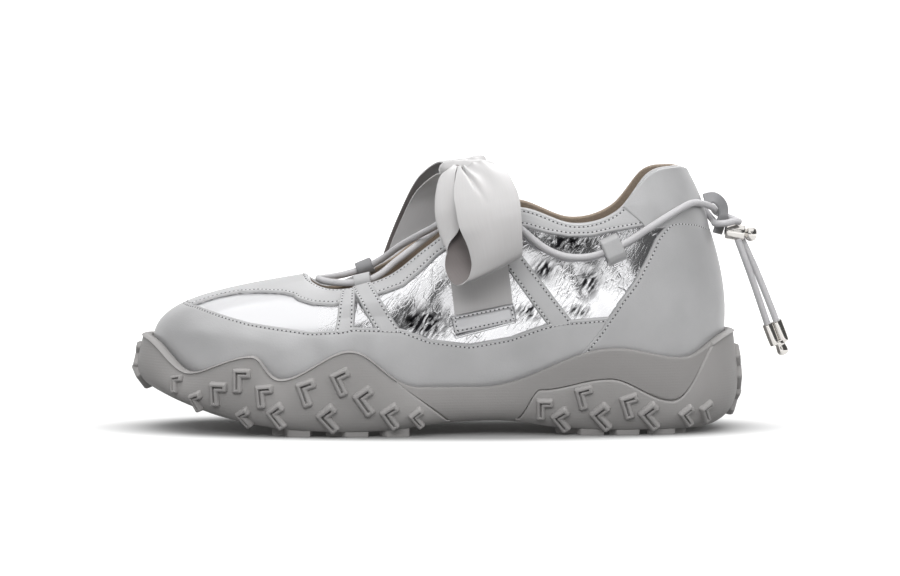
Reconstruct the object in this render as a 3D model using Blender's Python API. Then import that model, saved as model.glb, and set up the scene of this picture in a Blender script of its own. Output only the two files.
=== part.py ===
"""A left casual shoe: silver upper with leather overlays, elastic lace, ribbon bow and lugged sole.

Tables and sizes are in millimetres and the meshes in metres. The toe points to -X, the
outer side of the foot to -Y, and the sole stands on the plane Z = 0.
"""

import math

import bmesh
import bpy
import numpy as np
from mathutils import Matrix, Vector

MM = 0.001

# Driving sizes
WALL = 2.0
LEATHER = 1.2
GAP = 0.3
SOLE_GAP = 0.5
COLUMNS_PER_SIDE = 30
RIM_THICKNESS = 3.2
OUTSOLE_WALL = 1.6
OUTSOLE_PLATE = 2.4
OUTSOLE_LEAST = 0.14
LEDGE_GAP = 0.04
OUTSOLE_LEVELS = (0.0, 0.22, 0.55, 1.0)
FLOOR_DROP = 0.3
INSOLE_THICKNESS = 3.0
LACE_RADIUS = 1.5
LACE_STEP = 6.5
RIBBON_WIDTH = 25.0
RIBBON_THICKNESS = 0.8
LUG_HEIGHT = 1.6
LUG_ROOT = 1.2

# The last, a row for each section from toe to heel. The feather is the bottom edge of the
# upper and the top its free edge, on the outer (lat) and the inner (med) side. Flare and rise
# shape the wall above the feather, and spread and drop shape it below the top.
LAST_COLUMNS = (
    "feather_x", "feather_lat", "feather_med", "feather_z",
    "top_x", "top_lat", "top_med", "top_z",
    "flare", "rise", "spread", "drop",
)
LAST = {
    "toe_tip": (-118.5, 5.0, 5.0, 24.0, -57.0, 0.5, 0.5, 66.5, 19.0, 29.0, 46.0, 8.0),
    "toe_side": (-110.0, -17.5, 26.5, 22.5, -55.5, -6.5, 7.5, 64.2, 13.0, 29.0, 36.0, 6.0),
    "toe_corner": (-94.0, -30.5, 35.5, 20.0, -50.5, -13.5, 14.5, 61.6, 10.0, 26.0, 25.0, 5.0),
    "vamp": (-72.0, -36.8, 38.2, 18.0, -43.0, -18.5, 19.0, 61.0, 9.0, 24.0, 19.0, 5.0),
    "ball": (-48.0, -39.3, 37.0, 17.0, -33.0, -22.0, 22.0, 63.0, 8.5, 22.0, 16.0, 6.0),
    "waist_front": (-23.0, -37.8, 32.6, 16.6, -19.5, -24.5, 23.5, 68.5, 8.5, 22.0, 14.0, 8.0),
    "waist": (3.0, -34.3, 28.5, 16.8, -4.0, -26.5, 25.0, 81.0, 8.5, 24.0, 11.0, 12.0),
    "instep": (28.0, -31.0, 27.5, 18.6, 15.0, -27.0, 25.5, 94.5, 9.0, 26.0, 10.0, 15.0),
    "instep_back": (50.0, -30.0, 28.4, 21.5, 36.0, -28.0, 26.5, 97.3, 9.0, 27.0, 9.0, 17.0),
    "ankle": (72.0, -30.0, 29.8, 24.0, 58.0, -29.5, 28.5, 90.6, 8.5, 27.0, 8.0, 17.0),
    "ankle_back": (92.0, -29.2, 29.6, 25.2, 76.0, -29.0, 28.0, 95.5, 8.5, 28.0, 8.0, 19.0),
    "heel_side": (107.5, -24.0, 24.8, 25.8, 90.0, -23.0, 22.0, 111.5, 10.0, 29.0, 8.5, 22.0),
    "heel_corner": (115.8, -13.5, 14.2, 26.0, 101.5, -12.5, 12.0, 114.5, 12.0, 30.0, 9.0, 23.0),
    "heel_back": (118.5, 0.5, 0.5, 26.0, 106.5, 0.0, 0.0, 113.5, 13.0, 30.0, 9.0, 23.0),
}

# The sole under the same sections: how far its side stands out from the feather, how far the
# bottom edge tucks in from there, and the height of the bottom over the floor.
SOLE_COLUMNS = ("side", "tuck", "bottom")
SOLE = {
    "toe_tip": (17.5, 16.0, 16.5),
    "toe_side": (14.0, 12.0, 14.0),
    "toe_corner": (10.0, 8.5, 8.5),
    "vamp": (9.0, 6.5, 4.2),
    "ball": (8.5, 6.0, 2.5),
    "waist_front": (8.5, 6.0, 2.8),
    "waist": (7.5, 5.0, 5.8),
    "instep": (7.5, 5.0, 6.4),
    "instep_back": (8.0, 6.0, 3.6),
    "ankle": (8.5, 6.0, 2.5),
    "ankle_back": (8.5, 6.5, 2.5),
    "heel_side": (11.0, 9.0, 2.7),
    "heel_corner": (14.0, 11.5, 3.4),
    "heel_back": (15.5, 12.5, 4.0),
}

# Crests and troughs of the sole's rim and of the heel outsole's edge, along X: (x, z)
RIM_WAVE = (
    (-130.0, 40.0), (-107.0, 26.6), (-83.0, 34.0), (-67.5, 24.6), (-40.5, 36.4),
    (-8.0, 21.0), (18.0, 20.8), (77.0, 37.2), (105.0, 33.0), (128.0, 42.6),
)
HEEL_SEAM_WAVE = ((33.0, 6.6), (44.0, 19.8), (74.0, 24.5), (100.0, 14.8), (124.0, 43.0))
FRONT_SEAM_TOP = (-21.5, 26.6)
FRONT_SEAM_FOOT = (5.0, 6.0)
HEEL_SEAM_START = 33.0

# Edges of the overlays in the side view: (x, z)
MUDGUARD_EDGE = (
    (-112.0, 54.4), (-103.5, 53.8), (-80.0, 48.3), (-55.0, 45.2), (-42.0, 45.6), (-36.0, 47.0),
    (-16.0, 46.6), (-3.5, 42.0), (13.5, 39.8), (30.5, 42.7), (43.5, 47.4), (52.0, 49.6), (75.0, 51.5),
)
BINDING_EDGE = (
    (-60.0, 56.0), (-45.0, 55.4), (-34.0, 57.4), (-23.0, 60.8), (-15.0, 63.8), (-7.0, 70.4),
    (0.0, 76.9), (14.0, 86.6), (26.0, 89.4), (37.0, 89.3), (46.5, 86.6), (56.0, 85.0),
    (65.5, 85.2), (74.5, 87.2), (88.0, 89.6),
)
COUNTER_FRONT = (
    (52.0, 25.8), (60.0, 34.4), (69.0, 45.6), (77.7, 58.5), (86.3, 71.3), (92.6, 84.2), (97.5, 90.0),
)
COUNTER_TOP = ((88.0, 90.0), (103.0, 91.6), (110.0, 90.6), (122.0, 85.2))
TAB_FRONT = ((79.0, 97.5), (88.0, 89.6))

# Straps on the quarters in the side view: their foot stands on the mudguard's edge
STRAP_COLUMNS = (
    "foot_front_x", "foot_back_x", "head_front_x", "head_front_z", "head_back_x", "head_back_z", "lift",
)
STRAPS = {
    "strap_front": (-43.6, -37.0, -41.4, 59.6, -36.2, 60.4, 2.2),
    "strap_loop": (-25.3, -15.4, -35.8, 61.0, -28.6, 63.4, 2.2),
    "strap_back": (47.3, 58.0, 24.4, 78.6, 31.0, 83.8, 0.3),
}
STRAP_FOOT_GAP = 0.5
GUARD_END = (72.6, 51.0)
SEAM_GAP = 0.012
SEAM_FOOT = 0.02
SEAM_REACH = 0.5
UNDER = 0.07
GUARD_ROWS = (0.45, 0.8, 1.0)
THROAT_BAND = 0.815
TAB_LEATHER = 2.0
TAB_SEAM_GAP = 0.06

# Lugs on the outer wall of the sole: (x, z, turn in degrees, size)
FRONT_LUGS = (
    (-112.0, 21.4, 10.0, 0.75), (-102.5, 15.0, 20.0, 0.8), (-93.5, 18.4, 0.0, 1.0),
    (-83.5, 24.4, 0.0, 1.0), (-81.5, 8.8, 30.0, 0.85), (-73.8, 17.9, 5.0, 0.95),
    (-67.5, 9.6, 35.0, 1.0), (-55.0, 19.6, 20.0, 1.05), (-45.5, 8.6, 40.0, 1.1),
    (-40.4, 24.2, 25.0, 1.05), (-30.0, 16.1, 35.0, 1.1), (-19.2, 9.4, 35.0, 1.0),
    (-8.2, 8.6, 40.0, 0.8),
)
HEEL_LUGS = (
    (45.6, 11.8, 0.0, 0.9), (54.0, 7.2, 35.0, 1.0), (63.0, 16.9, 15.0, 0.95),
    (71.3, 8.4, 40.0, 1.1), (82.5, 13.2, 18.0, 1.0), (92.0, 8.6, 40.0, 1.1),
    (107.5, 8.6, 40.0, 0.85), (115.5, 10.0, 35.0, 0.85),
)
TOE_TIP_LUG_HEIGHTS = (31.0, 22.5)
HEEL_BACK_LUG_HEIGHTS = (30.5, 22.0, 11.8)
LUG_WIDTH = 7.2
LUG_LENGTH = 9.4
LUG_ARM = 3.3
LUG_DRAFT = 0.86

# Tread blocks under the sole: (x, y), with the middle ones large enough to rest on
TREAD_SIZE = (11.0, 10.0)
TREAD_PAD_SIZE = (18.0, 15.0)
FRONT_TREAD = (
    (-66.0, -29.0), (-66.0, 0.0), (-66.0, 26.0), (-20.0, -29.0), (-20.0, 0.0), (-20.0, 26.0),
    (-43.0, -31.0), (-43.0, 27.5),
)
HEEL_TREAD = ((56.0, -19.0), (56.0, 18.0), (102.0, -19.0), (102.0, 18.0), (79.0, -23.5), (79.0, 23.0))
FRONT_PAD = (-43.0, -2.0)
HEEL_PAD = (79.0, -0.8)

# Lace across the throat, from the outer topline over the crossing, round the front and back
THROAT_LACE = (
    (11.0, -21.0, 97.5), (5.0, -15.0, 93.0), (-2.0, -8.0, 88.2), (-8.5, -0.5, 84.4), (-17.0, 8.5, 79.0),
    (-25.0, 15.6, 73.0), (-32.5, 18.8, 68.8), (-41.0, 16.2, 66.2), (-48.6, 9.5, 65.2), (-52.4, 0.5, 65.4),
    (-48.6, -8.5, 64.6), (-41.0, -15.4, 64.4), (-32.5, -18.4, 65.2), (-25.5, -16.8, 68.0),
    (-18.5, -10.5, 73.4), (-9.0, 0.5, 80.2), (-1.0, 8.0, 86.2), (5.0, 14.5, 91.6), (11.0, 19.5, 96.4),
)
# Lace along the quarter in the side view, from the topline to the heel: (x, z, lift)
SIDE_LACE = (
    (21.0, 96.4, 3.9), (28.0, 92.6, 3.9), (35.0, 88.0, 3.9), (41.0, 83.2, 3.4), (47.0, 79.4, 2.1),
    (55.0, 76.6, 2.1), (64.5, 76.6, 2.1), (74.0, 79.6, 2.1), (82.0, 83.4, 2.8),
    (90.5, 89.0, 4.4), (99.0, 94.4, 4.6), (106.0, 97.6, 4.6),
)
# Lace round the heel to the lock, as a mirrored pair: (x, y on the outer side, z)
HEEL_LACE_LAT = (
    (115.6, -9.6, 98.2), (119.4, -4.6, 96.6), (120.8, 0.6, 95.0), (122.0, 5.0, 94.0),
    (125.4, 6.6, 92.4), (128.8, 4.8, 91.2), (131.2, 2.2, 90.2),
)
HEEL_LACE_MED = (
    (114.6, 10.6, 97.0), (118.8, 6.8, 92.4), (120.4, 0.8, 90.2), (120.8, -4.8, 89.6),
    (124.8, -6.8, 89.8), (128.8, -4.8, 90.6), (131.2, -2.2, 90.2),
)
HEEL_LOOP_ARC = ((115.9, 99.9), (120.4, 100.6), (123.8, 97.6), (124.4, 93.2), (123.0, 88.6), (121.8, 84.9))
HEEL_LOOP_WIDTH = 7.0

# Tail of the lace below the lock: two strands that spread towards the cap on their ends
TAIL_OUTER = ((131.0, -1.7, 81.5), (134.4, -1.6, 72.4), (138.2, -1.0, 62.0), (144.0, -0.3, 45.2))
TAIL_INNER = ((133.2, 1.7, 81.3), (137.6, 1.6, 72.0), (142.0, 1.0, 61.6), (148.0, 0.3, 46.5))
LOCK_CENTRE = (131.8, 0.0, 85.4)
LOCK_TILT = math.radians(8.0)
# Turned profiles: (distance along the axis, radius). The cap is flatter across the shoe.
LOCK_PROFILE = (
    (-7.0, 0.0), (-6.6, 2.6), (-5.4, 3.6), (1.0, 3.6), (1.8, 2.9), (2.4, 2.0), (3.4, 2.9), (5.2, 3.3),
    (7.0, 2.2), (7.6, 0.0),
)
TIP_PROFILE = (
    (0.0, 0.0), (0.0, 4.3), (0.8, 4.6), (8.6, 4.4), (9.4, 3.2), (10.2, 2.7), (13.4, 2.7), (14.4, 1.8),
    (14.8, 0.0),
)
TIP_WAY = (0.36, 0.0, -0.933)
TIP_FLATNESS = 0.64
TIP_GAP = 0.4

# Ribbon bow: centre line of each loop and the direction across the ribbon there
LOOP_LAT = (
    ((13.0, -6.3, 110.8), (0.98, 0.10, 0.0)), ((12.0, -17.0, 110.6), (0.96, 0.20, 0.05)),
    ((11.0, -32.0, 106.0), (0.94, 0.28, 0.12)), ((10.8, -42.5, 94.0), (0.92, 0.30, 0.20)),
    ((12.5, -45.0, 80.0), (0.90, 0.28, 0.30)), ((16.0, -48.5, 71.0), (0.88, 0.22, 0.40)),
    ((18.6, -51.6, 68.8), (0.90, 0.12, 0.40)), ((20.6, -53.6, 74.0), (0.93, 0.08, 0.34)),
    ((22.0, -53.6, 86.0), (0.96, 0.05, 0.24)), ((22.0, -47.0, 101.0), (0.98, 0.06, 0.14)),
    ((20.0, -32.0, 112.0), (0.98, 0.10, 0.08)), ((16.5, -16.0, 117.0), (0.98, 0.12, 0.0)),
    ((14.0, -5.9, 115.4), (0.98, 0.10, 0.0)),
)
LOOP_MED = (
    ((13.0, 5.9, 115.4), (0.98, -0.10, 0.0)), ((9.0, 16.0, 117.0), (0.96, -0.15, 0.15)),
    ((0.5, 33.0, 111.0), (0.90, -0.12, 0.40)), ((-7.0, 45.0, 98.0), (0.86, -0.08, 0.50)),
    ((-13.0, 51.5, 84.0), (0.84, -0.05, 0.53)), ((-16.5, 52.5, 73.0), (0.84, -0.05, 0.53)),
    ((-17.0, 48.5, 68.6), (0.84, -0.05, 0.53)), ((-14.5, 44.5, 73.0), (0.84, -0.05, 0.53)),
    ((-10.0, 41.0, 86.0), (0.85, -0.08, 0.50)), ((-1.0, 33.5, 103.0), (0.90, -0.12, 0.40)),
    ((8.0, 17.0, 110.6), (0.96, -0.10, 0.15)), ((12.5, 6.3, 110.8), (0.98, -0.10, 0.0)),
)
KNOT_CENTRE = (13.0, 0.0, 112.8)
KNOT_SIZE = (26.0, 13.0, 9.0)
# Ribbon strap up the quarter in the side view: (x, z, lift), then free to the knot
RIBBON_RUN = (
    (19.6, 47.6, 0.4), (19.4, 54.0, 0.5), (18.6, 62.0, 1.2), (17.6, 70.0, 2.4),
    (16.8, 78.0, 4.2), (16.2, 85.0, 6.2), (15.8, 91.0, 7.2),
)
RIBBON_TO_KNOT = (
    (15.4, 34.0, 97.6), (15.0, 26.0, 103.0), (14.6, 15.0, 106.0), (14.0, 8.0, 107.2), (13.6, 1.0, 107.5),
)
PATCH_LOW = (20.2, 44.6)
PATCH_HIGH = (19.4, 52.6)
PATCH_WIDTH = 27.0
PATCH_LIFT = 1.9
RIBBON_LEAN = 0.1
SIDE_LOOP = (74.6, 79.8)
SIDE_LOOP_SPAN = 12.0
SIDE_LOOP_WIDTH = 8.2
THROAT_LOOP_WIDTH = 7.2
THROAT_LOOP_ROOM = 0.9
SIDE_LOOP_LEAN = math.radians(-24.0)

STATIONS = list(LAST)
HALF = len(STATIONS) - 1
ROUND = 2 * HALF


# Curves and the upper's surface


def loop_values(outer, inner):
    """Values round the shoe: heel, outer side, toe, inner side."""
    return np.array(list(outer[::-1]) + list(inner[1:-1]), float)


def column(table, columns, name):
    place = columns.index(name)
    return [row[place] for row in table.values()]


def last_loop(outer, inner=None):
    inner = inner or outer
    return loop_values(column(LAST, LAST_COLUMNS, outer), column(LAST, LAST_COLUMNS, inner))


FEATHER = np.stack(
    [last_loop("feather_x"), last_loop("feather_lat", "feather_med"), last_loop("feather_z")], axis=1
)
TOP = np.stack([last_loop("top_x"), last_loop("top_lat", "top_med"), last_loop("top_z")], axis=1)
SHAPE = {name: last_loop(name) for name in ("flare", "rise", "spread", "drop")}
SHAPE |= {
    name: loop_values(column(SOLE, SOLE_COLUMNS, name), column(SOLE, SOLE_COLUMNS, name))
    for name in SOLE_COLUMNS
}


def spline(values, u):
    """A closed curve through one value, or point, for each section."""
    u = np.asarray(u, float)
    i = np.floor(u).astype(int)
    f = u - i
    if values.ndim > 1:
        f = f[..., None]
    a, b, c, d = (values[(i + k) % ROUND] for k in (-1, 0, 1, 2))
    return b + 0.5 * f * (c - a + f * (2 * a - 5 * b + 4 * c - d + f * (3 * (b - c) + d - a)))


def outward(u):
    """Level direction out of the shoe, square to the feather line."""
    step = 0.05
    ahead = spline(FEATHER, u + step) - spline(FEATHER, u - step)
    out = np.stack([-ahead[..., 1], ahead[..., 0], np.zeros_like(ahead[..., 0])], axis=-1)
    return out / np.linalg.norm(out, axis=-1, keepdims=True)


def level(z):
    """A vertical vector for each height."""
    zero = np.zeros_like(z)
    return np.stack([zero, zero, z], axis=-1)


def bezier(points, t):
    t = np.asarray(t, float)[..., None]
    a, b, c, d = points
    return (1 - t) ** 3 * a + 3 * (1 - t) ** 2 * t * b + 3 * (1 - t) * t**2 * c + t**3 * d


def last_point(u, t):
    """The outside of the upper, from the feather at t = 0 to its free edge at t = 1."""
    out = outward(u)
    low = spline(FEATHER, u)
    high = spline(TOP, u)
    lower = low + out * spline(SHAPE["flare"], u)[..., None] + level(spline(SHAPE["rise"], u))
    upper = high + out * spline(SHAPE["spread"], u)[..., None] - level(spline(SHAPE["drop"], u))
    return bezier((low, lower, upper, high), t)


def on_upper(u, t, lift=0.0):
    """A point of the upper moved out along the surface's normal by lift."""
    u, t, lift = np.broadcast_arrays(np.asarray(u, float), np.asarray(t, float), np.asarray(lift, float))
    du, dt = 0.02, 0.004
    along = last_point(u + du, t) - last_point(u - du, t)
    up = last_point(u, t + dt) - last_point(u, t - dt)
    normal = np.cross(up, along)
    normal /= np.linalg.norm(normal, axis=-1, keepdims=True)
    return last_point(u, t) + normal * lift[..., None]


def place_on_side(x, z, inner_side=False):
    """(u, t) of the upper's point that shows at x, z in the side view, by Newton's method."""
    first = HALF + 0.6
    u = np.interp(x, column(LAST, LAST_COLUMNS, "feather_x"), range(HALF + 1)) + HALF
    u = max(u, first) if inner_side else min(ROUND - u, ROUND - first)
    t = 0.5
    for _ in range(40):
        here = last_point(u, t)
        by_u = (last_point(u + 0.01, t) - here) / 0.01
        by_t = (last_point(u, t + 0.001) - here) / 0.001
        jacobian = np.array([[by_u[0], by_t[0]], [by_u[2], by_t[2]]])
        step = np.linalg.solve(jacobian, np.array([x - here[0], z - here[2]]))
        u += float(np.clip(step[0], -0.5, 0.5))
        t += float(np.clip(step[1], -0.15, 0.15))
    return u, t


def eased(rows, x):
    """A wave through its crests and troughs."""
    xs, zs = np.array(rows).T
    i = np.clip(np.searchsorted(xs, x) - 1, 0, len(xs) - 2)
    share = np.clip((x - xs[i]) / (xs[i + 1] - xs[i]), 0, 1)
    return zs[i] + (zs[i + 1] - zs[i]) * (0.5 - 0.5 * np.cos(np.pi * share))


def edge_height(u, rows):
    """t where the upper crosses a line that is drawn in the side view."""
    xs, zs = np.array(rows).T
    low, high = np.zeros_like(u), np.ones_like(u)
    for _ in range(40):
        middle = (low + high) / 2
        point = last_point(u, middle)
        under = point[..., 2] < np.interp(point[..., 0], xs, zs)
        low, high = np.where(under, middle, low), np.where(under, high, middle)
    return (low + high) / 2


def smooth_path(points, per_span=3):
    """Points along a smooth open curve through the given ones."""
    p = np.array(points, float)
    p = np.vstack([2 * p[0] - p[1], p, 2 * p[-1] - p[-2]])
    made = []
    for i in range(1, len(p) - 2):
        a, b, c, d = p[i - 1 : i + 3]
        for f in np.arange(per_span) / per_span:
            made.append(b + 0.5 * f * (c - a + f * (2 * a - 5 * b + 4 * c - d + f * (3 * (b - c) + d - a))))
    return np.array(made + [p[-2]])


def spaced_path(points, spacing):
    """Points at an even spacing along a smooth curve through the given ones."""
    fine = smooth_path(points, 12)
    length = np.concatenate([[0], np.cumsum(np.linalg.norm(np.diff(fine, axis=0), axis=1))])
    places = np.linspace(0, length[-1], max(2, round(length[-1] / spacing)) + 1)
    return np.stack([np.interp(places, length, fine[:, k]) for k in range(fine.shape[1])], axis=1)


def even_columns():
    """Places round the shoe, evenly spaced along the feather and alike on both sides."""
    fine = np.linspace(0, HALF, 800)
    line = spline(FEATHER, fine)
    length = np.concatenate([[0], np.cumsum(np.linalg.norm(np.diff(line, axis=0), axis=1))])
    side = np.interp(np.linspace(0, length[-1], COLUMNS_PER_SIDE + 1), length, fine)
    return np.concatenate([side, ROUND - side[-2:0:-1]])


AROUND = even_columns()


# Meshes


def material(name, colour, roughness, metallic=0.0):
    made = bpy.data.materials.new(name)
    made.use_nodes = True
    shader = made.node_tree.nodes["Principled BSDF"]
    shader.inputs["Base Color"].default_value = (*colour, 1.0)
    shader.inputs["Roughness"].default_value = roughness
    shader.inputs["Metallic"].default_value = metallic
    return made


SILVER = material("silver_foil_leather", (0.80, 0.80, 0.80), 0.25, 0.9)
GREY = material("grey_leather", (0.48, 0.48, 0.49), 0.5)
SOLE_RUBBER = material("grey_rubber", (0.33, 0.33, 0.33), 0.7)
SOLE_FOAM = material("grey_foam", (0.33, 0.33, 0.33), 0.75)
LINING = material("beige_lining", (0.36, 0.29, 0.25), 0.8)
SATIN = material("grey_satin", (0.52, 0.51, 0.51), 0.4)
CORD = material("grey_cord", (0.38, 0.38, 0.39), 0.6)
CHROME = material("chrome", (0.8, 0.8, 0.8), 0.1, 1.0)


def add_object(name, mesh, finish):
    mesh.materials.append(finish)
    mesh.shade_smooth()
    mesh.set_sharp_from_angle(angle=math.radians(40))
    made = bpy.data.objects.new(name, mesh)
    bpy.context.scene.collection.objects.link(made)
    return made


def solid_from(name, points, faces, finish):
    """One closed object, with doubled points merged and its faces pointing out."""
    mesh = bpy.data.meshes.new(name)
    shape = bmesh.new()
    corners = [shape.verts.new(Vector(p) * MM) for p in points]
    for face in faces:
        shape.faces.new([corners[i] for i in face])
    bmesh.ops.remove_doubles(shape, verts=shape.verts, dist=0.00001)
    bmesh.ops.recalc_face_normals(shape, faces=shape.faces)
    if shape.calc_volume(signed=True) < 0:
        bmesh.ops.reverse_faces(shape, faces=shape.faces)
    shape.to_mesh(mesh)
    shape.free()
    return add_object(name, mesh, finish)


def halves(a, b, c, d):
    """Two triangles of a four-sided face, always cut from its first to its third corner."""
    return [(a, b, c), (a, c, d)]


def ring_solid(name, rings, finish, closed_section=False):
    """A solid through closed rings. The first and last collapse on a line, or meet each other."""
    count = len(rings[0])
    points = np.concatenate(rings)
    faces = []
    for k in range(len(rings) if closed_section else len(rings) - 1):
        here, there = k * count, (k + 1) % len(rings) * count
        for i in range(count):
            j = (i + 1) % count
            faces += halves(here + i, here + j, there + j, there + i)
    return solid_from(name, points, faces, finish)


def shell(name, outside, inside, finish, folded=False):
    """A plate between two grids with its edges closed. A folded one meets itself on its first line."""
    rows, columns = outside.shape[:2]
    points = np.concatenate([outside.reshape(-1, 3), inside.reshape(-1, 3)])
    back = rows * columns

    def at(i, j):
        return i * columns + j

    faces = []
    for i in range(rows - 1):
        for j in range(columns - 1):
            front = halves(at(i, j), at(i + 1, j), at(i + 1, j + 1), at(i, j + 1))
            faces += front
            faces += [tuple(back + k for k in face[::-1]) for face in front]
    border = [] if folded else [(at(i, 0), at(i + 1, 0)) for i in range(rows - 1)]
    border += [(at(rows - 1, j), at(rows - 1, j + 1)) for j in range(columns - 1)]
    border += [(at(i + 1, columns - 1), at(i, columns - 1)) for i in range(rows - 1)]
    border += [(at(0, j + 1), at(0, j)) for j in range(columns - 1)]
    faces += [(b, a, back + a, back + b) for a, b in border]
    return solid_from(name, points, faces, finish)


def overlay(name, u, t, finish=GREY, lift=GAP, thickness=LEATHER):
    """A piece of leather that lies on the upper where the grids of u and t say."""
    return shell(name, on_upper(u, t, lift + thickness), on_upper(u, t, lift), finish)


def ribbon(name, path, across, width, thickness, finish):
    """A flat band along a path; across is its width direction at each point."""
    path = np.array(path, float)
    across = np.array(across, float)
    across /= np.linalg.norm(across, axis=1, keepdims=True)
    ahead = np.gradient(path, axis=0)
    face = np.cross(ahead, across)
    face /= np.linalg.norm(face, axis=1, keepdims=True)
    edges = np.stack([path - across * width / 2, path + across * width / 2], axis=1)
    half = face[:, None, :] * thickness / 2
    return shell(name, edges + half, edges - half, finish)


def tube(name, path, radius, finish=CORD):
    """A round cord along a path, with closed ends."""
    curve = bpy.data.curves.new(name, "CURVE")
    curve.dimensions = "3D"
    curve.bevel_depth = radius * MM
    curve.bevel_resolution = 2
    curve.use_fill_caps = True
    line = curve.splines.new("POLY")
    line.points.add(len(path) - 1)
    for point, place in zip(line.points, path):
        point.co = (*(Vector(place) * MM), 1.0)
    curve.materials.append(finish)
    made = bpy.data.objects.new(name, curve)
    bpy.context.scene.collection.objects.link(made)
    return made


def turned(name, profile, sides, frame, finish, flatness=1.0):
    """A turned piece: the profile holds (distance along the axis, radius). Flatness narrows its depth."""
    angles = np.arange(sides) / sides * math.tau
    rings = [
        np.stack([np.full(sides, along), radius * flatness * np.cos(angles), radius * np.sin(angles)], axis=1)
        for along, radius in profile
    ]
    moved = [np.array([frame @ Vector(p) for p in ring]) for ring in rings]
    return ring_solid(name, moved, finish)


def unite(target, others):
    """Joins separate shapes into the target solid."""
    for other in others:
        modifier = target.modifiers.new(other.name, "BOOLEAN")
        modifier.operation = "UNION"
        modifier.solver = "EXACT"
        modifier.object = other
        other.hide_render = True
        other.display_type = "WIRE"


# The sole


def rim_height(u):
    foot = spline(FEATHER, u) + outward(u) * spline(SHAPE["side"], u)[..., None] * 0.6
    return eased(RIM_WAVE, foot[..., 0]), foot[..., 0]


def at_height(u, z):
    """t where the upper reaches a height."""
    low, high = np.zeros_like(u), np.full_like(u, 0.6)
    for _ in range(40):
        middle = (low + high) / 2
        under = last_point(u, middle)[..., 2] < z
        low, high = np.where(under, middle, low), np.where(under, high, middle)
    return low


CUP_LIFT = LEATHER + GAP + SOLE_GAP
ROUND_STEPS = np.linspace(0, ROUND, 30 * ROUND + 1)
RIM_STEPS = at_height(ROUND_STEPS, rim_height(ROUND_STEPS)[0])


def rim_share(u):
    """t of the upper at the sole's rim."""
    return np.interp(np.mod(u, ROUND), ROUND_STEPS, RIM_STEPS)


def rim_line(u, outside):
    """The sole's rim round the upper, at its inner edge or further out."""
    return on_upper(u, rim_share(u), CUP_LIFT) + outward(u) * outside


def sole_side(u, h):
    """The outside of the sole, from the bottom edge at h = 0 to the rim at h = 1."""
    out = outward(u)
    foot = spline(FEATHER, u) * np.array([1.0, 1.0, 0.0])
    bottom = spline(SHAPE["bottom"], u)
    rim = rim_line(u, RIM_THICKNESS)
    height = rim[..., 2] - bottom
    side = spline(SHAPE["side"], u)[..., None]
    tuck = spline(SHAPE["tuck"], u)[..., None]
    edge = foot + out * (side - tuck) + level(bottom)
    belly = foot + out * (side + 0.6) + level(bottom + 0.16 * height)
    shoulder = rim + out * 1.2 - level(0.32 * height)
    return bezier((edge, belly, shoulder, rim), h)


def sole_inset(u, h, depth, plate):
    """The outside of the sole moved in by depth at its side and up by plate at its bottom."""
    turn = np.clip(np.asarray(h, float) / 0.4, 0, 1)
    turn = turn * turn * (3 - 2 * turn)
    moved = sole_side(u, h) - outward(u) * (depth * (0.5 + 0.5 * turn))[..., None]
    return moved + level(plate * (1 - turn))


def seam_height(u):
    """Top of the outsole at the sole's side. The bottom edge stays bare at the waist."""
    rim, x = rim_height(u)
    bottom = spline(SHAPE["bottom"], u)
    front = np.interp(x, (FRONT_SEAM_TOP[0], FRONT_SEAM_FOOT[0]), (FRONT_SEAM_TOP[1], FRONT_SEAM_FOOT[1]))
    front = np.where(x <= FRONT_SEAM_TOP[0], rim, front)
    heel = eased(HEEL_SEAM_WAVE, x)
    seam = np.where(x <= FRONT_SEAM_FOOT[0], front, np.where(x >= HEEL_SEAM_START, heel, bottom))
    return np.clip(seam, bottom, rim)


def side_share(u, z):
    """h where the side of the sole reaches a height."""
    low, high = np.zeros_like(u), np.ones_like(u)
    for _ in range(40):
        middle = (low + high) / 2
        under = sole_side(u, middle)[..., 2] < z
        low, high = np.where(under, middle, low), np.where(under, high, middle)
    whole = z >= rim_line(u, RIM_THICKNESS)[..., 2] - 0.05
    none = z <= spline(SHAPE["bottom"], u) + 0.05
    return np.where(whole, 1.0, np.where(none, 0.0, (low + high) / 2))


def spine(u, z):
    """Middle line of the sole, where both sides close on each other."""
    line = spline(FEATHER, u)
    other = spline(FEATHER, ROUND - u)
    middle = (line + other) / 2
    middle[..., 0] *= 0.93
    middle[..., 2] = z
    return middle


def make_midsole():
    u = AROUND
    share = side_share(u, seam_height(u))
    covered = np.isin(u, front_columns()) | np.isin(u, np.mod(heel_columns(), ROUND))
    share = np.where(covered, np.maximum(share, OUTSOLE_LEAST), 0.0)
    depth = np.where(covered, OUTSOLE_WALL + SOLE_GAP, 0.0)
    plate = np.where(covered, OUTSOLE_PLATE + SOLE_GAP, 0.0)
    bottom = spline(SHAPE["bottom"], u)
    floor = spline(FEATHER, u)[..., 2] - FLOOR_DROP
    feather = spline(FEATHER, u) * np.array([1.0, 1.0, 0.0])
    t_rim = rim_share(u)
    ledge = share + np.where((share > 0) & (share < 1), LEDGE_GAP, 0.0)
    bare = np.where(share >= 1, depth, 0.0)
    rings = [
        spine(u, bottom + plate),
        *(sole_inset(u, h * share, depth, plate) for h in OUTSOLE_LEVELS[:-1]),
        sole_inset(u, ledge, depth, plate),
        sole_inset(u, ledge, bare, 0 * plate),
        sole_inset(u, 0.5 + 0.5 * ledge, bare, 0 * plate),
        sole_inset(u, np.ones_like(u), bare, 0 * plate),
        rim_line(u, 0.0),
        on_upper(u, 0.5 * t_rim, CUP_LIFT),
        on_upper(u, np.full_like(u, 0.05), CUP_LIFT),
        feather + outward(u) * 1.4 + level(floor),
        feather - outward(u) * 5.0 + level(floor),
        spine(u, floor),
    ]
    return ring_solid("midsole", rings, SOLE_FOAM)


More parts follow.
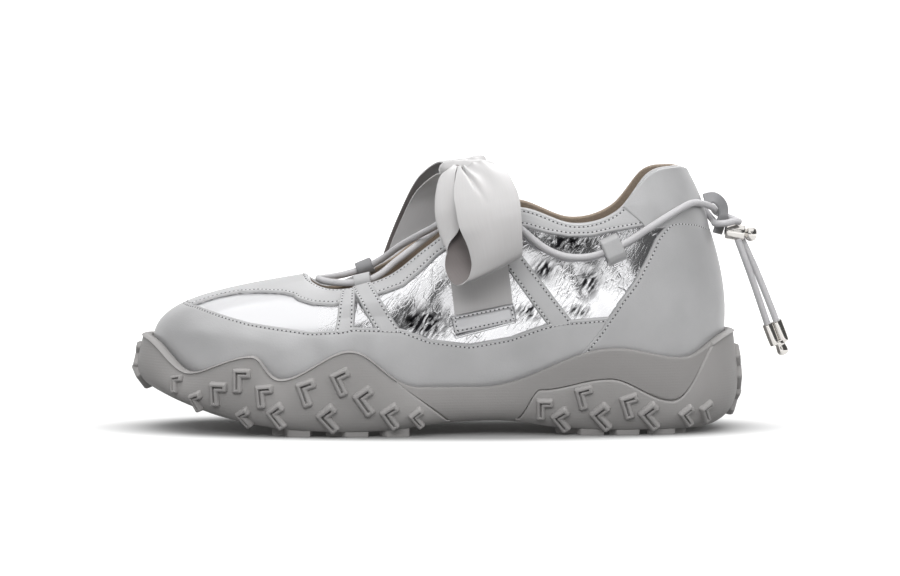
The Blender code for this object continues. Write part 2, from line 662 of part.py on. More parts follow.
def make_outsole(name, columns):
    """An outsole that wraps the sole's bottom and side along the given columns."""
    u = columns
    share = np.maximum(side_share(u, seam_height(u)), OUTSOLE_LEAST)
    bottom = spline(SHAPE["bottom"], u)
    full = np.full_like(u, 1.0)
    outside = [spine(u, bottom)] + [sole_side(u, h * share) for h in OUTSOLE_LEVELS]
    inside = [spine(u, bottom + OUTSOLE_PLATE)]
    inside += [sole_inset(u, h * share, OUTSOLE_WALL * full, OUTSOLE_PLATE * full) for h in OUTSOLE_LEVELS]
    return shell(name, np.stack(outside, axis=1), np.stack(inside, axis=1), SOLE_RUBBER, folded=True)


def front_columns():
    x = rim_height(AROUND)[1]
    kept = AROUND[x <= FRONT_SEAM_FOOT[0]]
    return np.sort(kept)


def heel_columns():
    x = rim_height(AROUND)[1]
    kept = AROUND[x >= HEEL_SEAM_START]
    return np.sort(np.where(kept > HALF, kept - ROUND, kept))


def chevron(size):
    """Outline of a lug: an upright angle with its corner at the upper left."""
    w, h, a = LUG_WIDTH * size / 2, LUG_LENGTH * size / 2, LUG_ARM * size
    return ((-w, h), (-w, -h), (a - w, -h), (a - w, h - a), (w, h - a), (w, h))


def prism(outline, base, frame_x, frame_y, normal, root, top, draft):
    """Corners and faces of a short tapered prism that stands on a surface."""
    low = [base + frame_x * a + frame_y * b - normal * root for a, b in outline]
    high = [base + (frame_x * a + frame_y * b) * draft + normal * top for a, b in outline]
    n = len(outline)
    faces = [tuple(range(n - 1, -1, -1)), tuple(range(n, 2 * n))]
    faces += [(i, (i + 1) % n, n + (i + 1) % n, n + i) for i in range(n)]
    return low + high, faces


def wall_frame(u, z):
    """Point, level direction towards the heel, upward direction and normal of the sole's side."""
    u = np.array(u, float)
    h = side_share(u, np.array(z, float))
    point = sole_side(u, h)
    along = sole_side(u + 0.02, h) - sole_side(u - 0.02, h)
    up = sole_side(u, h + 0.01) - sole_side(u, h - 0.01)
    normal = np.cross(up, along)
    normal /= np.linalg.norm(normal)
    level_way = np.cross(normal, (0.0, 0.0, 1.0))
    level_way /= np.linalg.norm(level_way)
    if level_way[0] < 0:
        level_way = -level_way
    upward = np.cross(level_way, normal)
    if upward[2] < 0:
        upward = -upward
    return point, level_way, upward, normal


def find_side(x, z, inner_side):
    """u where the sole's side passes x at a height."""
    end = ROUND - 0.05 if inner_side else 0.05
    u = np.linspace(HALF, end, 200)
    reach = sole_side(u, side_share(u, np.full_like(u, z)))[:, 0]
    return float(np.interp(x, reach, u))


def make_lugs(name, table, middle_u, middle_heights, tread, pad):
    """All lugs of one outsole: both sides, the end of the shoe, and the tread under it."""
    places = [
        (find_side(x, z, inner), z, turn, size) for inner in (False, True) for x, z, turn, size in table
    ]
    places += [(middle_u, z, 45.0, 0.8) for z in middle_heights]
    points, faces = [], []

    def add(corners, sides):
        first = len(points)
        points.extend(corners)
        faces.extend(tuple(first + i for i in side) for side in sides)

    for u, z, turn, size in places:
        point, along, up, normal = wall_frame(u, z)
        c, s = math.cos(math.radians(turn)), math.sin(math.radians(turn))
        across, upright = along * c + up * s, up * c - along * s
        add(*prism(chevron(size), point, across, upright, normal, LUG_ROOT, LUG_HEIGHT, LUG_DRAFT))
    blocks = [(place, TREAD_SIZE) for place in tread] + [(pad, TREAD_PAD_SIZE)]
    ahead, aside, down = np.array(((1.0, 0.0, 0.0), (0.0, 1.0, 0.0), (0.0, 0.0, -1.0)))
    for (x, y), (long, wide) in blocks:
        foot = np.interp(x, column(LAST, LAST_COLUMNS, "feather_x"), column(SOLE, SOLE_COLUMNS, "bottom"))
        a, b = long / 2, wide / 2
        outline = ((-a, -b), (-a * 0.7, 0.0), (-a, b), (a * 0.7, b), (a, 0.0), (a * 0.7, -b))
        base = np.array((x, y, foot))
        add(*prism(outline, base, ahead, aside, down, LUG_ROOT, foot, LUG_DRAFT))
    return solid_from(name, points, faces, SOLE_RUBBER)


def make_insole():
    u = AROUND
    feather = spline(FEATHER, u) * np.array([1.0, 1.0, 0.0])
    low = spline(FEATHER, u)[..., 2]
    high = low + INSOLE_THICKNESS
    inset = WALL + 2 * GAP
    rings = [
        spine(u, low),
        feather - outward(u) * (inset + 0.6) + level(low),
        feather - outward(u) * inset + level(high),
        spine(u, high),
    ]
    return ring_solid("insole", rings, LINING)


# The upper and its overlays


def mirrored(u):
    """The same place on the outer side, counted from the heel."""
    u = np.mod(u, ROUND)
    return np.minimum(u, ROUND - u)


def seam_places(rows):
    """(u, t) along a slanting seam that is drawn in the side view, in order of u."""
    return np.array(sorted(place_on_side(x, z) for x, z in rows))


def seam_share(u, rows, beyond):
    """t of a slanting seam; beyond is given behind it, towards the heel."""
    us, ts = seam_places(rows).T
    return np.interp(mirrored(u), us, ts, left=beyond)


def binding_edge(u):
    """Lower edge of the binding: a side-view line, and an even band round the throat's front."""
    drawn = edge_height(u, BINDING_EDGE)
    front = np.clip((2.6 - np.abs(u - HALF)) / 0.9, 0, 1)
    return drawn * (1 - front) + THROAT_BAND * front


def upper_rows(u):
    """Heights of the upper's sections, with rows on the edges of the overlays."""
    guard = edge_height(u, MUDGUARD_EDGE)
    band = binding_edge(u)
    return [0 * u, *(guard * part for part in GUARD_ROWS), (guard + band) / 2, band, 0 * u + 1]


def make_upper():
    rows = upper_rows(AROUND)
    rings = [on_upper(AROUND, t) for t in rows]
    rings += [on_upper(AROUND, t, -WALL) for t in rows[::-1]]
    return ring_solid("upper", rings, SILVER, closed_section=True)


def columns_between(first, last):
    """Places round the shoe between two others, with both ends."""
    turns = np.concatenate([AROUND - ROUND, AROUND])
    inside = turns[(turns > first + 0.05) & (turns < last - 0.05)]
    return np.concatenate([[first], inside, [last]])


def with_seam(u, rows):
    """Columns with those of a seam's own points added."""
    seam = seam_places(rows)[:, 0]
    both = np.concatenate([u, seam, -seam, ROUND - seam])
    both = np.sort(both[(both >= u[0]) & (both <= u[-1])])
    return both[np.concatenate([[True], np.diff(both) > 0.04])]


def cut_grid(u, low, high):
    """Grids of u and t between two edges, on the upper's own rows."""
    middle = [np.clip(t, low, high) for t in upper_rows(u)[1:-1]]
    t = np.stack([low] + middle + [high], axis=1)
    return np.repeat(u[:, None], t.shape[1], axis=1), t


def lined_grid(u, low, high, rows):
    """Grids of u and t between two edges, with the rows evenly spread."""
    t = low[:, None] + (high - low)[:, None] * np.linspace(0, 1, rows)
    return np.repeat(u[:, None], rows, axis=1), t


def make_mudguard():
    """The guard round the toe and sides. It ends in a point at the counter's seam."""
    end = place_on_side(*GUARD_END)[0]
    u = columns_between(end, ROUND - end)
    u = with_seam(u, COUNTER_FRONT)
    seam = np.maximum(seam_share(u, COUNTER_FRONT, 1.0), UNDER + SEAM_FOOT) + SEAM_GAP
    behind = mirrored(u) < place_on_side(*COUNTER_FRONT[0])[0] + SEAM_REACH
    low = np.where(behind, seam, UNDER)
    edge = edge_height(u, MUDGUARD_EDGE)
    t = np.stack([low] + [np.maximum(low, edge * part) for part in GUARD_ROWS], axis=1)
    return overlay("mudguard", np.repeat(u[:, None], t.shape[1], axis=1), t)


def make_vamp_strip():
    """The strip up the middle of the toe, between the two silver windows."""
    shares = np.linspace(0, 1, 7)
    half = np.interp(shares, (0.0, 0.25, 0.6, 0.85, 1.0), (0.62, 0.46, 0.52, 0.85, 1.35))
    across = np.linspace(-1, 1, 7)
    u = HALF + across[:, None] * half
    low = edge_height(u, MUDGUARD_EDGE) + SEAM_GAP
    high = binding_edge(u) - SEAM_GAP
    return overlay("vamp_strip", u, low + (high - low) * shares)


def make_binding():
    """The band along the throat and collar. Its ends meet the heel tab's slanting seam."""
    end = place_on_side(*TAB_FRONT[-1])[0]
    u = columns_between(end, ROUND - end)
    low = binding_edge(u)
    high = np.maximum(np.minimum(0.998, seam_share(u, TAB_FRONT, 1.0) - SEAM_GAP), low + 0.02)
    high = np.where(mirrored(u) >= place_on_side(*TAB_FRONT[0])[0], 0.998, high)
    return overlay("topline_binding", *lined_grid(u, low, high, 3))


def make_counter():
    """The heel counter, under its slanting front seam and its own top edge."""
    end = place_on_side(*COUNTER_FRONT[0])[0]
    u = with_seam(columns_between(-end, end), COUNTER_FRONT)
    high = np.minimum(edge_height(np.abs(u), COUNTER_TOP), seam_share(u, COUNTER_FRONT, 1.0))
    low = np.full_like(u, UNDER)
    return overlay("heel_counter", *cut_grid(u, low, np.maximum(high, UNDER + SEAM_FOOT)))


def make_heel_tab():
    """The padded leather over the heel, from the counter to the top edge."""
    end = place_on_side(*TAB_FRONT[0])[0] - TAB_SEAM_GAP
    u = columns_between(-end, end)
    low = np.maximum(edge_height(np.abs(u), COUNTER_TOP), seam_share(u, TAB_FRONT, 0.0)) + SEAM_GAP
    low = np.minimum(low, 0.97)
    return overlay("heel_tab", *lined_grid(u, low, np.full_like(u, 0.998), 3), thickness=TAB_LEATHER)


def strap_grid(foot, head, width, inner_side, rows, columns=3):
    """u and t of a straight strap that is drawn in the side view."""
    foot, head = np.array(foot), np.array(head)
    way = (head - foot) / np.linalg.norm(head - foot)
    across = np.array((way[1], -way[0])) * width / 2
    shares = np.linspace(-1, 1, columns)
    middles = [foot + (head - foot) * r for r in np.linspace(0, 1, rows)]
    places = [[place_on_side(*(middle + across * c), inner_side) for c in shares] for middle in middles]
    grid = np.array(places)
    return grid[..., 0], grid[..., 1]


def make_straps():
    for name, row in STRAPS.items():
        strap = dict(zip(STRAP_COLUMNS, row))
        foot_x = np.array((strap["foot_front_x"], strap["foot_back_x"]))
        foot_z = np.interp(foot_x, *np.array(MUDGUARD_EDGE).T) + STRAP_FOOT_GAP
        foot = np.stack([foot_x, foot_z], axis=1)
        head = np.array(row[2:6]).reshape(2, 2)
        rows = np.linspace(0, 1, 5)
        lift = np.interp(rows, (0.0, 0.5), (GAP, strap["lift"]))
        for side, inner in (("outer", False), ("inner", True)):
            places = [[place_on_side(*(a + (b - a) * r), inner) for a, b in zip(foot, head)] for r in rows]
            grid = np.array(places)
            overlay(f"{name}_{side}", grid[..., 0], grid[..., 1], lift=lift[:, None])


def make_side_loops():
    """Leather tabs that arch over the lace on each quarter."""
    lean = np.array((math.sin(SIDE_LOOP_LEAN), math.cos(SIDE_LOOP_LEAN)))
    shares = np.linspace(-1, 1, 9)
    hump = GAP + (2 * LACE_RADIUS + 2 * GAP) * np.clip(1.35 * np.cos(shares * math.pi / 2) ** 0.8, 0, 1)
    for side, inner in (("outer", False), ("inner", True)):
        middle = np.array(SIDE_LOOP)
        low, high = middle - lean * SIDE_LOOP_SPAN / 2, middle + lean * SIDE_LOOP_SPAN / 2
        u, t = strap_grid(low, high, SIDE_LOOP_WIDTH, inner, len(shares), 2)
        overlay(f"side_loop_{side}", u, t, lift=hump[:, None])


def make_throat_loops():
    """Rings of leather at the heads of the loop straps, round the lace."""
    for side, sign in (("outer", -1.0), ("inner", 1.0)):
        path = [np.array(p) for p in THROAT_LACE]
        at = 12 if sign < 0 else 6
        way = path[at + 1] - path[at - 1]
        turn = Vector((1, 0, 0)).rotation_difference(Vector(way)).to_matrix().to_4x4()
        frame = Matrix.Translation(Vector(path[at])) @ turn
        inside = LACE_RADIUS + THROAT_LOOP_ROOM
        outside = inside + LEATHER
        half = THROAT_LOOP_WIDTH / 2
        profile = ((-half, inside), (-half, outside), (half, outside), (half, inside))
        sides = 12
        angles = np.arange(sides) / sides * math.tau
        rings = [
            np.array([frame @ Vector((along, r * math.cos(a), r * math.sin(a))) for a in angles])
            for along, r in profile
        ]
        ring_solid(f"throat_loop_{side}", rings, GREY, closed_section=True)


def make_heel_loop():
    path = [(x, 0.0, z) for x, z in smooth_path([(x, z) for x, z in HEEL_LOOP_ARC], 2)]
    across = [(0.0, 1.0, 0.0)] * len(path)
    return ribbon("heel_loop", path, across, HEEL_LOOP_WIDTH, LEATHER, GREY)


# Lace, ribbon and metal


def side_lace_path(inner_side):
    run = [on_upper(*place_on_side(x, z, inner_side), lift) for x, z, lift in SIDE_LACE]
    rest = HEEL_LACE_MED if inner_side else HEEL_LACE_LAT
    return spaced_path(run + [np.array(p) for p in rest], LACE_STEP)


def make_lace():
    tube("lace_throat", spaced_path(THROAT_LACE, LACE_STEP), LACE_RADIUS)
    tube("lace_side_outer", side_lace_path(False), LACE_RADIUS)
    tube("lace_side_inner", side_lace_path(True), LACE_RADIUS)
    tube("lace_tail_outer", spaced_path(TAIL_OUTER, LACE_STEP), LACE_RADIUS)
    tube("lace_tail_inner", spaced_path(TAIL_INNER, LACE_STEP), LACE_RADIUS)


def make_metal():
    lock = Matrix.Translation(LOCK_CENTRE) @ Matrix.Rotation(LOCK_TILT, 4, "Y")
    turned("cord_lock", LOCK_PROFILE, 14, lock, CHROME)
    way = Vector(TIP_WAY).normalized()
    start = (Vector(TAIL_OUTER[-1]) + Vector(TAIL_INNER[-1])) / 2 + way * TIP_GAP
    turn = Vector((1, 0, 0)).rotation_difference(way).to_matrix().to_4x4()
    turned("cord_tip", TIP_PROFILE, 14, Matrix.Translation(start) @ turn, CHROME, TIP_FLATNESS)


def make_bow():
    """The knot, and a loop on each side of it."""
    sides = 10
    angles = np.arange(sides) / sides * math.tau
    long, wide, high = (size / 2 for size in KNOT_SIZE)
    rings = []
    for share in np.linspace(-1, 1, 7):
        swell = max(0.0, 1 - share**4) ** 0.5
        ring = [np.full(sides, share * long), np.cos(angles) * wide * swell, np.sin(angles) * high * swell]
        rings.append(np.stack(ring, axis=1) + np.array(KNOT_CENTRE))
    ring_solid("bow_knot", rings, SATIN)
    for name, rows in (("bow_loop_outer", LOOP_LAT), ("bow_loop_inner", LOOP_MED)):
        path = smooth_path([place for place, _ in rows], 2)
        across = smooth_path([way for _, way in rows], 2)
        ribbon(name, path, across, RIBBON_WIDTH, RIBBON_THICKNESS, SATIN)


def make_ribbon_straps():
    """Ribbon from each quarter up to the knot, and the patch that holds its foot."""
    across = np.linspace(-0.5, 0.5, 3) * RIBBON_WIDTH
    for side, inner, sign in (("outer", False, -1.0), ("inner", True, 1.0)):
        lines = []
        for c in across:
            places = [(place_on_side(x + c, z + RIBBON_LEAN * c, inner), lift) for x, z, lift in RIBBON_RUN]
            run = [on_upper(*place, lift) for place, lift in places]
            free = [np.array((x + c, sign * y, z)) for x, y, z in RIBBON_TO_KNOT]
            lines.append(smooth_path(run + free, 2))
        inside = np.stack(lines, axis=1)
        face = np.cross(np.gradient(inside, axis=1), np.gradient(inside, axis=0)) * sign
        face *= np.sign(face[0, 1, 1] * sign)
        face /= np.linalg.norm(face, axis=2, keepdims=True)
        shell(f"ribbon_strap_{side}", inside + face * RIBBON_THICKNESS, inside, SATIN)
        grid = strap_grid(PATCH_LOW, PATCH_HIGH, PATCH_WIDTH, inner, 3, 5)
        overlay(f"ribbon_patch_{side}", *grid, finish=SILVER, lift=PATCH_LIFT)


def make_sole():
    make_midsole()
    make_insole()
    front = make_outsole("outsole_front", front_columns())
    heel = make_outsole("outsole_heel", heel_columns())
    toe_u, back_u = float(HALF), 0.0
    unite(front, [make_lugs("lugs_front", FRONT_LUGS, toe_u, TOE_TIP_LUG_HEIGHTS, FRONT_TREAD, FRONT_PAD)])
    unite(heel, [make_lugs("lugs_heel", HEEL_LUGS, back_u, HEEL_BACK_LUG_HEIGHTS, HEEL_TREAD, HEEL_PAD)])


def main():
    for old in list(bpy.data.objects):
        bpy.data.objects.remove(old)
    make_sole()
    make_upper()
    make_mudguard()
    make_vamp_strip()
    make_binding()
    make_counter()
    make_heel_tab()
    make_straps()
    make_side_loops()
    make_throat_loops()
    make_heel_loop()
    make_lace()
    make_metal()
    make_bow()
    make_ribbon_straps()


main()
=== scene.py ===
# %% [markdown]
# A left casual shoe: a silver upper under grey leather, an elastic lace, a satin bow and a lugged
# sole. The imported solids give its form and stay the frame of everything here. Each solid that is
# too plain for the eye is replaced by a finer piece on the same surface. The toe points to -X, the
# outer side of the foot to -Y, and sizes are in millimetres until a mesh is made.

import math

import bpy
import numpy as np
from mathutils import Matrix, Vector
from mathutils.kdtree import KDTree


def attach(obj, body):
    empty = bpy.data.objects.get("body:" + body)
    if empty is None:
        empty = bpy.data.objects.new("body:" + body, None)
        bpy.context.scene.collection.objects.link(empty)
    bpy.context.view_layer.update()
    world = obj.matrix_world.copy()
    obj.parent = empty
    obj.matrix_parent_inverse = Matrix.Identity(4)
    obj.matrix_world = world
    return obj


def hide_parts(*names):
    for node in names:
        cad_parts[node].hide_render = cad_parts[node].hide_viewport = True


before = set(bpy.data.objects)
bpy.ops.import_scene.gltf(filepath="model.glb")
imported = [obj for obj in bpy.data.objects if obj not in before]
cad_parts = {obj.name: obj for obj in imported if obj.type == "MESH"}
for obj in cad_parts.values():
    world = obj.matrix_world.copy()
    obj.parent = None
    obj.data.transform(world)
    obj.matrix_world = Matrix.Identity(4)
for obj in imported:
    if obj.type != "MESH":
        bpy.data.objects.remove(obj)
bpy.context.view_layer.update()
MM = 0.001

# %% [markdown]
# The photograph was taken level with the shoe from far away, so its outline is almost a side view.
# A long lens at 1.6 m, four degrees above the horizon, gives the same slight view on to the toe.

# %% Camera
VIEW_DISTANCE = 1600.0
VIEW_ELEVATION = math.radians(4.0)
VIEW_TARGET = (5.03, 0.0, 61.09)
SENSOR_WIDTH = 36.0
LENS = 146.2857
bpy.ops.object.select_all(action="DESELECT")
bpy.ops.object.camera_add(rotation=(math.pi / 2 - VIEW_ELEVATION, 0.0, 0.0))
camera = bpy.context.object
camera.name = "side_view"
camera.location = (
    VIEW_TARGET[0] * MM,
    -VIEW_DISTANCE * math.cos(VIEW_ELEVATION) * MM,
    (VIEW_TARGET[2] + VIEW_DISTANCE * math.sin(VIEW_ELEVATION)) * MM,
)
camera.data.sensor_width = SENSOR_WIDTH
camera.data.lens = LENS
camera.data.clip_end = 100.0
bpy.context.scene.camera = camera
print("camera at", [round(c, 3) for c in camera.location])

# %% [markdown]
# Behind the heel the lace comes out of its metal lock as two free strands of round elastic cord,
# 3 mm thick, that end in one metal cap. A curve with a round bevel is the plainest cord: it keeps
# its thickness in every bend, and its own line is its length. The bevel is one unit and each point's
# radius scales it, because Blender adds that radius to a curve's box.

# %% The two free strands
LACE_RADIUS = 1.5
ROUTE_STEP = 1.5
INSIDE_LOCK = 0.8
TAIL_OUTER = ((131.0, -1.7, 81.5), (134.4, -1.6, 72.4), (138.2, -1.0, 62.0), (144.0, -0.3, 45.2))
TAIL_INNER = ((133.2, 1.7, 81.3), (137.6, 1.6, 72.0), (142.0, 1.0, 61.6), (148.0, 0.3, 46.5))


def smooth_path(points, per_span=3):
    """Points along a smooth open curve through the given ones."""
    p = np.array(points, float)
    p = np.vstack([2 * p[0] - p[1], p, 2 * p[-1] - p[-2]])
    made = []
    for i in range(1, len(p) - 2):
        a, b, c, d = p[i - 1 : i + 3]
        for f in np.arange(per_span) / per_span:
            made.append(b + 0.5 * f * (c - a + f * (2 * a - 5 * b + 4 * c - d + f * (3 * (b - c) + d - a))))
    return np.array(made + [p[-2]])


def run_length(path):
    """Distance along a path up to each of its points."""
    return np.concatenate([[0], np.cumsum(np.linalg.norm(np.diff(path, axis=0), axis=1))])


def spaced(path, spacing):
    """The same path with its points at an even spacing."""
    length = run_length(path)
    places = np.linspace(0, length[-1], max(2, round(length[-1] / spacing)) + 1)
    return np.stack([np.interp(places, length, path[:, k]) for k in range(path.shape[1])], axis=1)


def cord_route(points):
    """A smooth cord's middle line through some points."""
    return spaced(smooth_path(points, 12), ROUTE_STEP)


def round_cord(name, path):
    """A round cord of the lace's thickness along a path, with closed ends."""
    curve = bpy.data.curves.new(name, "CURVE")
    curve.dimensions = "3D"
    curve.bevel_depth = 1.0
    curve.bevel_resolution = 5
    curve.use_fill_caps = True
    line = curve.splines.new("POLY")
    line.points.add(len(path) - 1)
    line.points.foreach_set("co", np.column_stack([path * MM, np.ones(len(path))]).ravel())
    line.points.foreach_set("radius", np.full(len(path), LACE_RADIUS * MM))
    line.use_smooth = True
    made = bpy.data.objects.new(name, curve)
    bpy.context.scene.collection.objects.link(made)
    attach(made, "root")
    return made


tails = {}
for side, line in (("outer", TAIL_OUTER), ("inner", TAIL_INNER)):
    route = cord_route(line)
    inside_lock = route[:1] - (route[1] - route[0]) * INSIDE_LOCK
    tails[side] = (round_cord(f"tail_strand_{side}", np.vstack([inside_lock, route])), route)
    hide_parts(f"lace_tail_{side}")
    print("tail strand", side, round(run_length(route)[-1], 1), "mm long")

# %% [markdown]
# A shoe is made over a last, so its upper is one smooth surface round the foot. The table has a row
# for each section from toe to heel, and the functions run a closed curve through them: u goes once
# round the shoe from the heel over the outer side and the toe, and t goes up from the feather, where
# the upper meets the sole, to the top edge. Every leather piece is then a patch of u and t.

# %% The last's surface
LAST_COLUMNS = (
    "feather_x", "feather_lat", "feather_med", "feather_z",
    "top_x", "top_lat", "top_med", "top_z",
    "flare", "rise", "spread", "drop",
)
LAST = {
    "toe_tip": (-118.5, 5.0, 5.0, 24.0, -57.0, 0.5, 0.5, 66.5, 19.0, 29.0, 46.0, 8.0),
    "toe_side": (-110.0, -17.5, 26.5, 22.5, -55.5, -6.5, 7.5, 64.2, 13.0, 29.0, 36.0, 6.0),
    "toe_corner": (-94.0, -30.5, 35.5, 20.0, -50.5, -13.5, 14.5, 61.6, 10.0, 26.0, 25.0, 5.0),
    "vamp": (-72.0, -36.8, 38.2, 18.0, -43.0, -18.5, 19.0, 61.0, 9.0, 24.0, 19.0, 5.0),
    "ball": (-48.0, -39.3, 37.0, 17.0, -33.0, -22.0, 22.0, 63.0, 8.5, 22.0, 16.0, 6.0),
    "waist_front": (-23.0, -37.8, 32.6, 16.6, -19.5, -24.5, 23.5, 68.5, 8.5, 22.0, 14.0, 8.0),
    "waist": (3.0, -34.3, 28.5, 16.8, -4.0, -26.5, 25.0, 81.0, 8.5, 24.0, 11.0, 12.0),
    "instep": (28.0, -31.0, 27.5, 18.6, 15.0, -27.0, 25.5, 94.5, 9.0, 26.0, 10.0, 15.0),
    "instep_back": (50.0, -30.0, 28.4, 21.5, 36.0, -28.0, 26.5, 97.3, 9.0, 27.0, 9.0, 17.0),
    "ankle": (72.0, -30.0, 29.8, 24.0, 58.0, -29.5, 28.5, 90.6, 8.5, 27.0, 8.0, 17.0),
    "ankle_back": (92.0, -29.2, 29.6, 25.2, 76.0, -29.0, 28.0, 95.5, 8.5, 28.0, 8.0, 19.0),
    "heel_side": (107.5, -24.0, 24.8, 25.8, 90.0, -23.0, 22.0, 111.5, 10.0, 29.0, 8.5, 22.0),
    "heel_corner": (115.8, -13.5, 14.2, 26.0, 101.5, -12.5, 12.0, 114.5, 12.0, 30.0, 9.0, 23.0),
    "heel_back": (118.5, 0.5, 0.5, 26.0, 106.5, 0.0, 0.0, 113.5, 13.0, 30.0, 9.0, 23.0),
}
STATIONS = list(LAST)
HALF = len(STATIONS) - 1
ROUND = 2 * HALF


def loop_values(outer, inner):
    """Values round the shoe: heel, outer side, toe, inner side."""
    return np.array(list(outer[::-1]) + list(inner[1:-1]), float)


def column(table, columns, name):
    place = columns.index(name)
    return [row[place] for row in table.values()]


def last_loop(outer, inner=None):
    inner = inner or outer
    return loop_values(column(LAST, LAST_COLUMNS, outer), column(LAST, LAST_COLUMNS, inner))


FEATHER = np.stack(
    [last_loop("feather_x"), last_loop("feather_lat", "feather_med"), last_loop("feather_z")], axis=1
)
TOP = np.stack([last_loop("top_x"), last_loop("top_lat", "top_med"), last_loop("top_z")], axis=1)
SHAPE = {name: last_loop(name) for name in ("flare", "rise", "spread", "drop")}
# The inner side's top edge stands higher along the throat, so the lining shows over the outer edge
INNER_RISE = {"vamp": 1.0, "ball": 3.5, "waist_front": 5.5, "waist": 5.5, "instep": 3.5, "instep_back": 1.0}
for station, rise in INNER_RISE.items():
    TOP[ROUND - (HALF - STATIONS.index(station)), 2] += rise


def spline(values, u):
    """A closed curve through one value, or point, for each section."""
    u = np.asarray(u, float)
    i = np.floor(u).astype(int)
    f = u - i
    if values.ndim > 1:
        f = f[..., None]
    a, b, c, d = (values[(i + k) % ROUND] for k in (-1, 0, 1, 2))
    return b + 0.5 * f * (c - a + f * (2 * a - 5 * b + 4 * c - d + f * (3 * (b - c) + d - a)))


def outward(u):
    """Level direction out of the shoe, square to the feather line."""
    step = 0.05
    ahead = spline(FEATHER, u + step) - spline(FEATHER, u - step)
    out = np.stack([-ahead[..., 1], ahead[..., 0], np.zeros_like(ahead[..., 0])], axis=-1)
    return out / np.linalg.norm(out, axis=-1, keepdims=True)


def level(z):
    """A vertical vector for each height."""
    zero = np.zeros_like(z)
    return np.stack([zero, zero, z], axis=-1)


def bezier(points, t):
    t = np.asarray(t, float)[..., None]
    a, b, c, d = points
    return (1 - t) ** 3 * a + 3 * (1 - t) ** 2 * t * b + 3 * (1 - t) * t**2 * c + t**3 * d


def last_point(u, t):
    """The outside of the upper, from the feather at t = 0 to its free edge at t = 1."""
    out = outward(u)
    low = spline(FEATHER, u)
    high = spline(TOP, u)
    lower = low + out * spline(SHAPE["flare"], u)[..., None] + level(spline(SHAPE["rise"], u))
    upper = high + out * spline(SHAPE["spread"], u)[..., None] - level(spline(SHAPE["drop"], u))
    return bezier((low, lower, upper, high), t)


def on_upper(u, t, lift=0.0):
    """A point of the upper moved out along the surface's normal by lift."""
    u, t, lift = np.broadcast_arrays(np.asarray(u, float), np.asarray(t, float), np.asarray(lift, float))
    du, dt = 0.02, 0.004
    along = last_point(u + du, t) - last_point(u - du, t)
    up = last_point(u, t + dt) - last_point(u, t - dt)
    normal = np.cross(up, along)
    normal /= np.linalg.norm(normal, axis=-1, keepdims=True)
    return last_point(u, t) + normal * lift[..., None]


def eased(rows, x):
    """A wave through its crests and troughs."""
    xs, zs = np.array(rows).T
    i = np.clip(np.searchsorted(xs, x) - 1, 0, len(xs) - 2)
    share = np.clip((x - xs[i]) / (xs[i + 1] - xs[i]), 0, 1)
    return zs[i] + (zs[i + 1] - zs[i]) * (0.5 - 0.5 * np.cos(np.pi * share))


def crossing(u, is_under, highest=1.0):
    """For each u, the value from 0 up to the highest where a test stops being true, by halving."""
    low, high = np.zeros_like(u), np.full_like(u, highest)
    for _ in range(40):
        middle = (low + high) / 2
        under = is_under(middle)
        low, high = np.where(under, middle, low), np.where(under, high, middle)
    return (low + high) / 2


def edge_height(u, rows):
    """t where the upper crosses a line that is drawn in the side view."""
    xs, zs = np.array(rows).T

    def is_under(t):
        point = last_point(u, t)
        return point[..., 2] < np.interp(point[..., 0], xs, zs)

    return crossing(u, is_under)


print("places round the shoe:", ROUND)

# %% [markdown]
# Colours are read off the real finishes as sRGB hex values, and one function makes them linear.
# A finish is a Principled shader whose sockets hold plain values, with a few texture nodes for the
# grain. Patterns are in metres on Object coordinates, so a scale is one over the size of its grain.

# %% Colours and nodes
def colour(code):
    """Linear colour of an sRGB hex value."""
    parts = [int(code[i : i + 2], 16) / 255 for i in (1, 3, 5)]
    return (*(c / 12.92 if c <= 0.04045 else ((c + 0.055) / 1.055) ** 2.4 for c in parts), 1.0)


def add_node(tree, kind, inputs=None, **settings):
    """Adds a node, sets its properties and gives its inputs values or links."""
    made = tree.nodes.new("ShaderNode" + kind)
    for name, value in settings.items():
        setattr(made, name, value)
    for name, value in (inputs or {}).items():
        if isinstance(value, bpy.types.NodeSocket):
            tree.links.new(value, made.inputs[name])
        else:
            made.inputs[name].default_value = value
    return made


def new_finish(name, base, roughness, **sockets):
    """A material with its shader's constant values, its node tree and its Object coordinates."""
    made = bpy.data.materials.new(name)
    made.use_nodes = True
    tree = made.node_tree
    shader = tree.nodes["Principled BSDF"]
    shader.inputs["Base Color"].default_value = colour(base)
    shader.inputs["Roughness"].default_value = roughness
    for socket, value in sockets.items():
        shader.inputs[socket.replace("_", " ")].default_value = value
    place = add_node(tree, "TexCoord").outputs["Object"]
    return made, tree, shader.inputs, place


def mix_tones(tree, shader, factor, light, dark):
    """Lets a texture move the shader's colour between two tones."""
    tone = add_node(tree, "Mix", {"Factor": factor, 6: colour(light), 7: colour(dark)}, data_type="RGBA")
    tree.links.new(tone.outputs[2], shader["Base Color"])


def add_grain(tree, shader, place, size, detail=2.0, tones=None, relief=None):
    """A noise with grains of one size, as two tones, as a relief of (depth, strength), or as both."""
    noise = add_node(tree, "TexNoise", {"Vector": place, "Scale": 1 / size, "Detail": detail}).outputs[0]
    if tones:
        mix_tones(tree, shader, noise, *tones)
    if relief:
        bump = add_node(tree, "Bump", {"Height": noise, "Distance": relief[0], "Strength": relief[1]})
        tree.links.new(bump.outputs[0], shader["Normal"])


print("a mid grey of #808080 is", round(colour("#808080")[0], 3), "in linear light")
